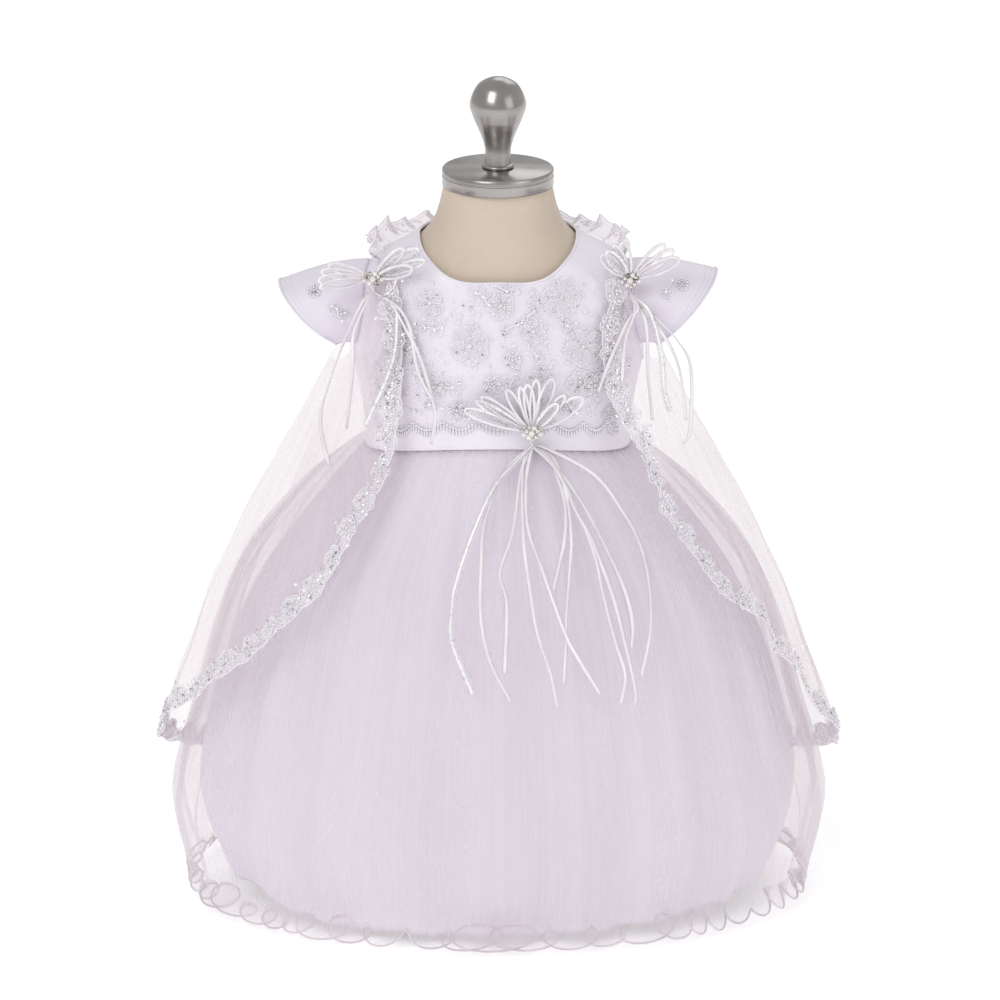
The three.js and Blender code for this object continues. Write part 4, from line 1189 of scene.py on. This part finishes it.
def on_cape(u, down, stand, inwards):
    """A placing that puts a motif on the cape, moved inwards along the band."""
    centre = cape_point(u, down)
    right = unit(cape_point(min(u + 0.004, 1), down) - cape_point(max(u - 0.004, 0), down))
    out = cape_out(u, down)
    up = np.cross(out, right)
    return in_plane(centre + out * stand + up * inwards, right, up, out)


def make_cape():
    net = cloth(
        "shoulder_cape", 640, 60, lambda u, v: cape_point(u, 1 - v), (1.5, 0.36), CAPE_NET, "tulle",
        ["cape_tulle"],
    )
    fine = np.linspace(0, 1, 3001)
    edge = cape_point(fine, np.ones(3001))
    travelled = travel(edge)
    total = travelled[-1]

    def swing_of(far):
        """1 at a flower, and 0 halfway between two of them."""
        return np.abs(np.cos(np.pi * (far - BAND_START) / BAND_PITCH))

    def on_bodice(far):
        """1 where the band lies on the bodice, near its two ends, and 0 below."""
        return 1 - smooth_step(np.minimum(far, total - far), 90, 130)

    def band_edge(start, far):
        """Where the band's upper edge lies: high at a flower and low between two of them."""
        swell = swing_of(far) ** 1.3
        reach = (0.34 + 0.72 * swell) * (1 + 0.6 * on_bodice(far))
        return np.maximum(1 - (1 - start) * reach, 0.03)

    def lower_edge(start, far):
        """Its lower edge, in scallops."""
        return 1 + (1 - start) * (0.16 * swing_of(far) - 0.05)

    def lace(u, v):
        start, far = trim_start(u), np.interp(u, fine, travelled)
        high, low = band_edge(start, far), lower_edge(start, far)
        down = low + (high - low) * v
        return cape_point(u, down) + cape_out(u, np.minimum(down, 1.0)) * 1.3

    band = cloth("cape_lace_band", 1400, 5, lace, (total * MM, 0.015), TRIM_LACE, "lace", ["cape_trim"])
    bm = bmesh.new()
    bead = pattern(lambda b: add_bead(b, (0, 0, 0.7), 0.9, 1))
    rows = (
        # motifs, pitch, start, share of the band's width, turn from one to the next
        ([flower(8.4), flower(7.0), flower(7.7)], BAND_PITCH, BAND_START, 0.48, 47),
        ([sprig(13, 2)], BAND_PITCH, BAND_START + 5.5, 0.74, 0),
        ([sprig(9, 1)], BAND_PITCH, BAND_START - 6, 0.30, 160),
        ([bead], BAND_PITCH / 5, 0.0, 0.92, 0),
        ([bead], BAND_PITCH / 2, BAND_START - 4, 0.06, 0),
    )
    for motifs, step, begin, share, swing in rows:
        for k, far in enumerate(np.arange(begin % step, total - 2, step)):
            u = float(np.interp(far, travelled, fine))
            start = float(trim_start(u))
            down = start + (1 - start) * (share + 0.06 * math.sin(2.1 * k))
            near = float(on_bodice(far))
            place = on_cape(u, down, 1.3, 3 * near)
            turn = swing * k + 9 * math.sin(1.7 * k)
            grow = 1 + 0.2 * near
            stamp(bm, motifs[k % len(motifs)], lambda p, f=place, t=turn, g=grow: f(turned_by(p, t, g)))
    u = np.linspace(0.001, 0.999, 2600)
    start, far = trim_start(u), np.interp(u, fine, travelled)
    for down in (lower_edge(start, far), band_edge(start, far)):
        add_cord(bm, cape_point(u, down) + cape_out(u, np.minimum(down, 1.0)) * 1.6, 0.8, sides=4)
    merge(bm)
    work = piece("cape_embroidery", bm, WORKED, "lace")


# The ruffled collar


def collar_point(u, v):
    """A point of the frill, with broad uneven lobes that curl over at their tips."""
    angle = 60 + 240 * u
    turn = np.where(angle < 180, angle, 360 - angle)
    height, rise, lean = (read(COLLAR, "angle", c, turn) for c in ("height", "rise", "lean"))
    base = on_table(BODICE, angle, height) + (0, 0, 0.4)
    wave = np.sin(2 * np.pi * 16 * u + 0.5 * np.sin(2 * np.pi * 5 * u))
    lean = (lean + 3.4 * wave * v**0.7) * v
    lobes = 1.6 * np.abs(np.sin(np.pi * 32 * u)) + 2.0 * np.sin(2 * np.pi * 9 * u + 1)
    up = (rise - 3.4 * wave + lobes * np.minimum(rise / 8, 1)) * v
    return base + level(base) * lean[..., None] + np.stack([0 * up, 0 * up, up], -1)


def make_collar():
    ruffle = cloth(
        "shoulder_ruffle", 420, 14, collar_point, (0.5, 0.015), RUFFLE_LACE, "lace", ["cape_collar"],
    )
    bm = bmesh.new()
    line = np.linspace(0, 1, 500)
    add_cord(bm, collar_point(line, np.ones(500)), 0.9, sides=5)
    add_cord(bm, collar_point(line, np.full(500, 0.8)), 0.5, sides=4)
    blossom, dot = flower(4.6), pattern(lambda b: add_bead(b, (0, 0, 0.6), 1.0))
    for k in range(34):
        u = (k + 0.5) / 34
        places = collar_point(np.array([u, u + 0.004, u]), np.array([0.62, 0.62, 0.8]))
        centre = places[0]
        right, up = unit(places[1] - centre), unit(places[2] - centre)
        out = np.cross(right, up)
        stamp(bm, blossom if k % 2 == 0 else dot, in_plane(centre + out * 0.6, right, up, out))
    merge(bm)
    work = piece("ruffle_embroidery", bm, WORKED, "lace")


# The ribbon bows


def loop_path(knot, tip, width):
    """A ribbon's loop, out from the knot to its tip and back."""
    along = np.array(tip, float) - knot
    across = unit(np.cross(along, (0, 1, 0))) * width
    out = np.array((0, -width * 0.4, 0))
    places = ((0.45, 0.8), (0.85, 0.75), (1, 0), (0.85, -0.75), (0.45, -0.8))
    line = [knot + along * s + across * w + out for s, w in places]
    return spline([knot, *line, knot], 7)


def on_skirt(tail, k):
    """A ribbon's tail on the overskirt, from sideways places and heights."""
    return [skirt_front(x, z, 5.6 + 0.5 * (k % 4)) for x, z in tail]


def on_shoulder(tail):
    """A ribbon's tail over the cape's front, or hanging free in front of the sleeve."""
    line = [front_point(x, z, 5.5, CAPE) for x, z in tail]
    return [np.array((x, min(y, -47.0), z)) for x, y, z in line]


def facing(path, depth):
    """The way across a ribbon that shows its face to the front, tipped a little."""
    ahead = unit(np.gradient(path, axis=0))
    return unit(np.cross(ahead, (0, -1, 0))) * 0.85 + np.array((0, -depth, 0))


def add_picot(bm, path, width, beside):
    """A silvery ribbon with tiny loops down both edges."""
    add_cord(bm, path, width * 0.55, 0.35, 6, beside, which=1)
    ahead = unit(np.gradient(path, axis=0))
    side = unit(np.broadcast_to(beside, path.shape) - ahead * np.sum(ahead * beside, -1, keepdims=True))
    far = travel(path)
    turn = np.linspace(0, 2 * math.pi, 7)[:-1]
    for at in np.arange(1, far[-1] - 1, 2.1):
        centre, along, across = (
            np.array([np.interp(at, far, way[:, i]) for i in range(3)]) for way in (path, ahead, side)
        )
        along, across = unit(along), unit(across)
        ring = centre + np.outer(np.cos(turn), along) * 0.9 + np.outer(np.sin(turn), across) * 0.9
        for edge in (-1, 1):
            add_cord(bm, ring + across * edge * width * 0.36, 0.5, sides=3, closed=True, which=1)


def add_brooch(bm, knot):
    """A tight cluster of pearls and cut stones over the knot."""
    x, y, z = knot
    for dx, dz, radius, kind in STONES:
        lift = 6.4 - 0.035 * (dx * dx + dz * dz)
        centre = np.array((x + dx, y - lift, z + 1 + dz)) * MM
        shape = (2, 2, 1.0) if kind == "pearl" else (3, 1, 0.7)
        add_bead(bm, centre, radius * MM, *shape)


# Sideways, up, radius and kind of each stone in a brooch
STONES = (
    (0, 0, 2.2, "pearl"), (3.6, 1.6, 1.9, "stone"), (-3.4, 1.4, 1.9, "stone"), (1.6, 3.6, 1.7, "pearl"),
    (-2.0, -3.0, 1.8, "pearl"), (2.8, -2.8, 1.9, "stone"), (-5.6, -1.2, 1.5, "pearl"),
    (6.0, -0.8, 1.6, "pearl"),
    (-1.8, 4.0, 1.4, "stone"), (0.4, -4.6, 1.3, "stone"), (-4.8, 3.6, 1.1, "stone"), (5.0, 3.6, 1.1, "stone"),
)


def make_bow(name, knot, picots, loops, tails, picot_tails):
    """A bow of ribbon loops and tails, from the tip and width of each loop and the line of each tail."""
    knot = np.array(knot, float)
    bm = bmesh.new()
    made = bmesh.ops.create_uvsphere(bm, u_segments=16, v_segments=10, radius=1)["verts"]
    for v in made:
        v.co = Vector(knot + np.array((6 * v.co.x, 4 * v.co.y, 4.5 * v.co.z))) * MM
    for tip, width in loops:
        path = loop_path(knot, tip, width)
        add_cord(bm, path, 2.4, 0.4, 6, facing(path, 0.6))
    for tip, width in picots:
        path = loop_path(knot, tip, width)
        add_picot(bm, path, 4.6, facing(path, 0.4))
    under = knot + np.array((0, -0.5, -9))
    for k, line in enumerate(tails):
        path = spline([knot, under, *line], 8)
        twist = 0.75 * np.sin(np.linspace(0, 4.5, len(path)) + 1.9 * k)
        beside = np.stack([np.cos(twist), -np.sin(twist), 0 * twist + 0.1], -1)
        add_cord(bm, path, 2.5, 0.4, 6, beside)
    for line in picot_tails:
        add_picot(bm, spline([knot, under, *line], 10), 4.2, np.array((0.9, -0.3, 0.1)))
    merge(bm)
    add_brooch(bm, knot)
    nodes = [f"bow_{name}", f"brooch_{name}"]
    piece(f"{name}_ribbon_bow", bm, [RIBBON, PICOT, PEARL, STONE], "ribbon", nodes)


def make_bows():
    tails = [
        [(5, 329), (-9, 300), (-11.5, 271), (-11.5, 239), (-5, 210), (9, 183)],
        [(16, 329), (10, 293), (1.5, 268), (6, 248), (4.5, 203)],
        [(17, 331), (17, 293), (20, 267), (26, 231), (35.5, 201), (40, 178)],
        [(19, 323), (20, 296), (29.5, 270), (45, 229), (54, 212), (69, 187)],
        [(37, 334), (46, 314), (49.5, 289), (48.5, 269), (46, 238), (46, 223), (44.5, 194)],
        [(35, 334), (45, 310), (45, 288), (41.5, 274), (37, 256)],
        [(38, 330), (52, 307), (65, 277), (71, 251), (79, 221), (86, 198), (83, 179)],
        [(40, 327), (52, 305), (63, 286), (77, 252), (85, 223), (92.5, 190), (93, 178)],
        [(32, 337), (54, 312), (71, 284), (86, 252), (91, 230), (90, 215)],
        [(31, 341), (65, 323), (85, 299), (96, 279), (102, 255), (103, 226), (97, 196)],
    ]
    picot_tail = [(-1.5, 321), (-18, 290), (-29, 259), (-31, 244), (-31, 223), (-17, 188)]
    make_bow(
        "waist", (23, -76, 352),
        [((-22, -82, 370), 4), ((-14, -82, 376), 3), ((40, -82, 374), 3.5)],
        [((-11, -82, 379), 4), ((6, -82, 384), 3.5), ((20, -83, 388), 4), ((26, -82, 391), 3.5),
         ((37, -82, 392), 4.5), ((45, -82, 380), 3.5), ((57, -80, 378), 6), ((15, -83, 386), 3)],
        [on_skirt(t, k) for k, t in enumerate(tails)], [on_skirt(picot_tail, 1)],
    )
    left = off_table(CAPE, np.array(-57.5), np.array(447.0), 5.2)
    make_bow(
        "left", left,
        [((-54, -58, 476), 4.5), ((-50, -62, 469), 3.5)],
        [((-121, -56, 454), 5), ((-119, -56, 460), 4), ((-114, -54, 464), 4), ((-58, -62, 464), 5),
         ((-64, -60, 477), 4), ((-120, -56, 449), 4)],
        [
            on_shoulder(tail) for tail in (
                [(-89, 436), (-98, 413), (-99, 386), (-103, 349)],
                [(-92, 435), (-105, 406), (-115, 378), (-121, 351), (-115, 325)],
                [(-70, 436), (-60, 423), (-54, 394), (-43, 370), (-45, 345)],
                [(-73, 436), (-62, 420), (-52, 402), (-42, 368)],
            )
        ],
        [on_shoulder([(-76, 438), (-69, 432), (-69.5, 407), (-75, 388), (-90, 353)])],
    )
    right = off_table(CAPE, np.array(62.0), np.array(445.0), 5.2)
    make_bow(
        "right", right,
        [((74, -58, 474), 4.5)],
        [((70, -58, 472), 5), ((84, -56, 480), 4), ((112, -54, 478), 4), ((122, -54, 468), 5),
         ((78, -56, 478), 4), ((118, -54, 474), 4)],
        [
            on_shoulder(tail) for tail in (
                [(95, 431), (88, 422), (76, 399), (68, 379)],
                [(93, 429), (86.5, 409), (84, 383)],
                [(100, 422), (102, 385), (105, 354)],
                [(107, 424), (122, 408), (131, 389), (131, 346), (126.5, 335)],
                [(105, 422), (117, 404), (124, 384), (128, 352)],
            )
        ],
        [on_shoulder([(103, 428), (111, 398), (113, 374), (117, 358)])],
    )


set_stage()
make_form()
make_bodice()
make_sleeves()
make_bodice_lace()
make_skirts()
make_cape()
make_collar()
make_bows()

bpy.context.view_layer.update()
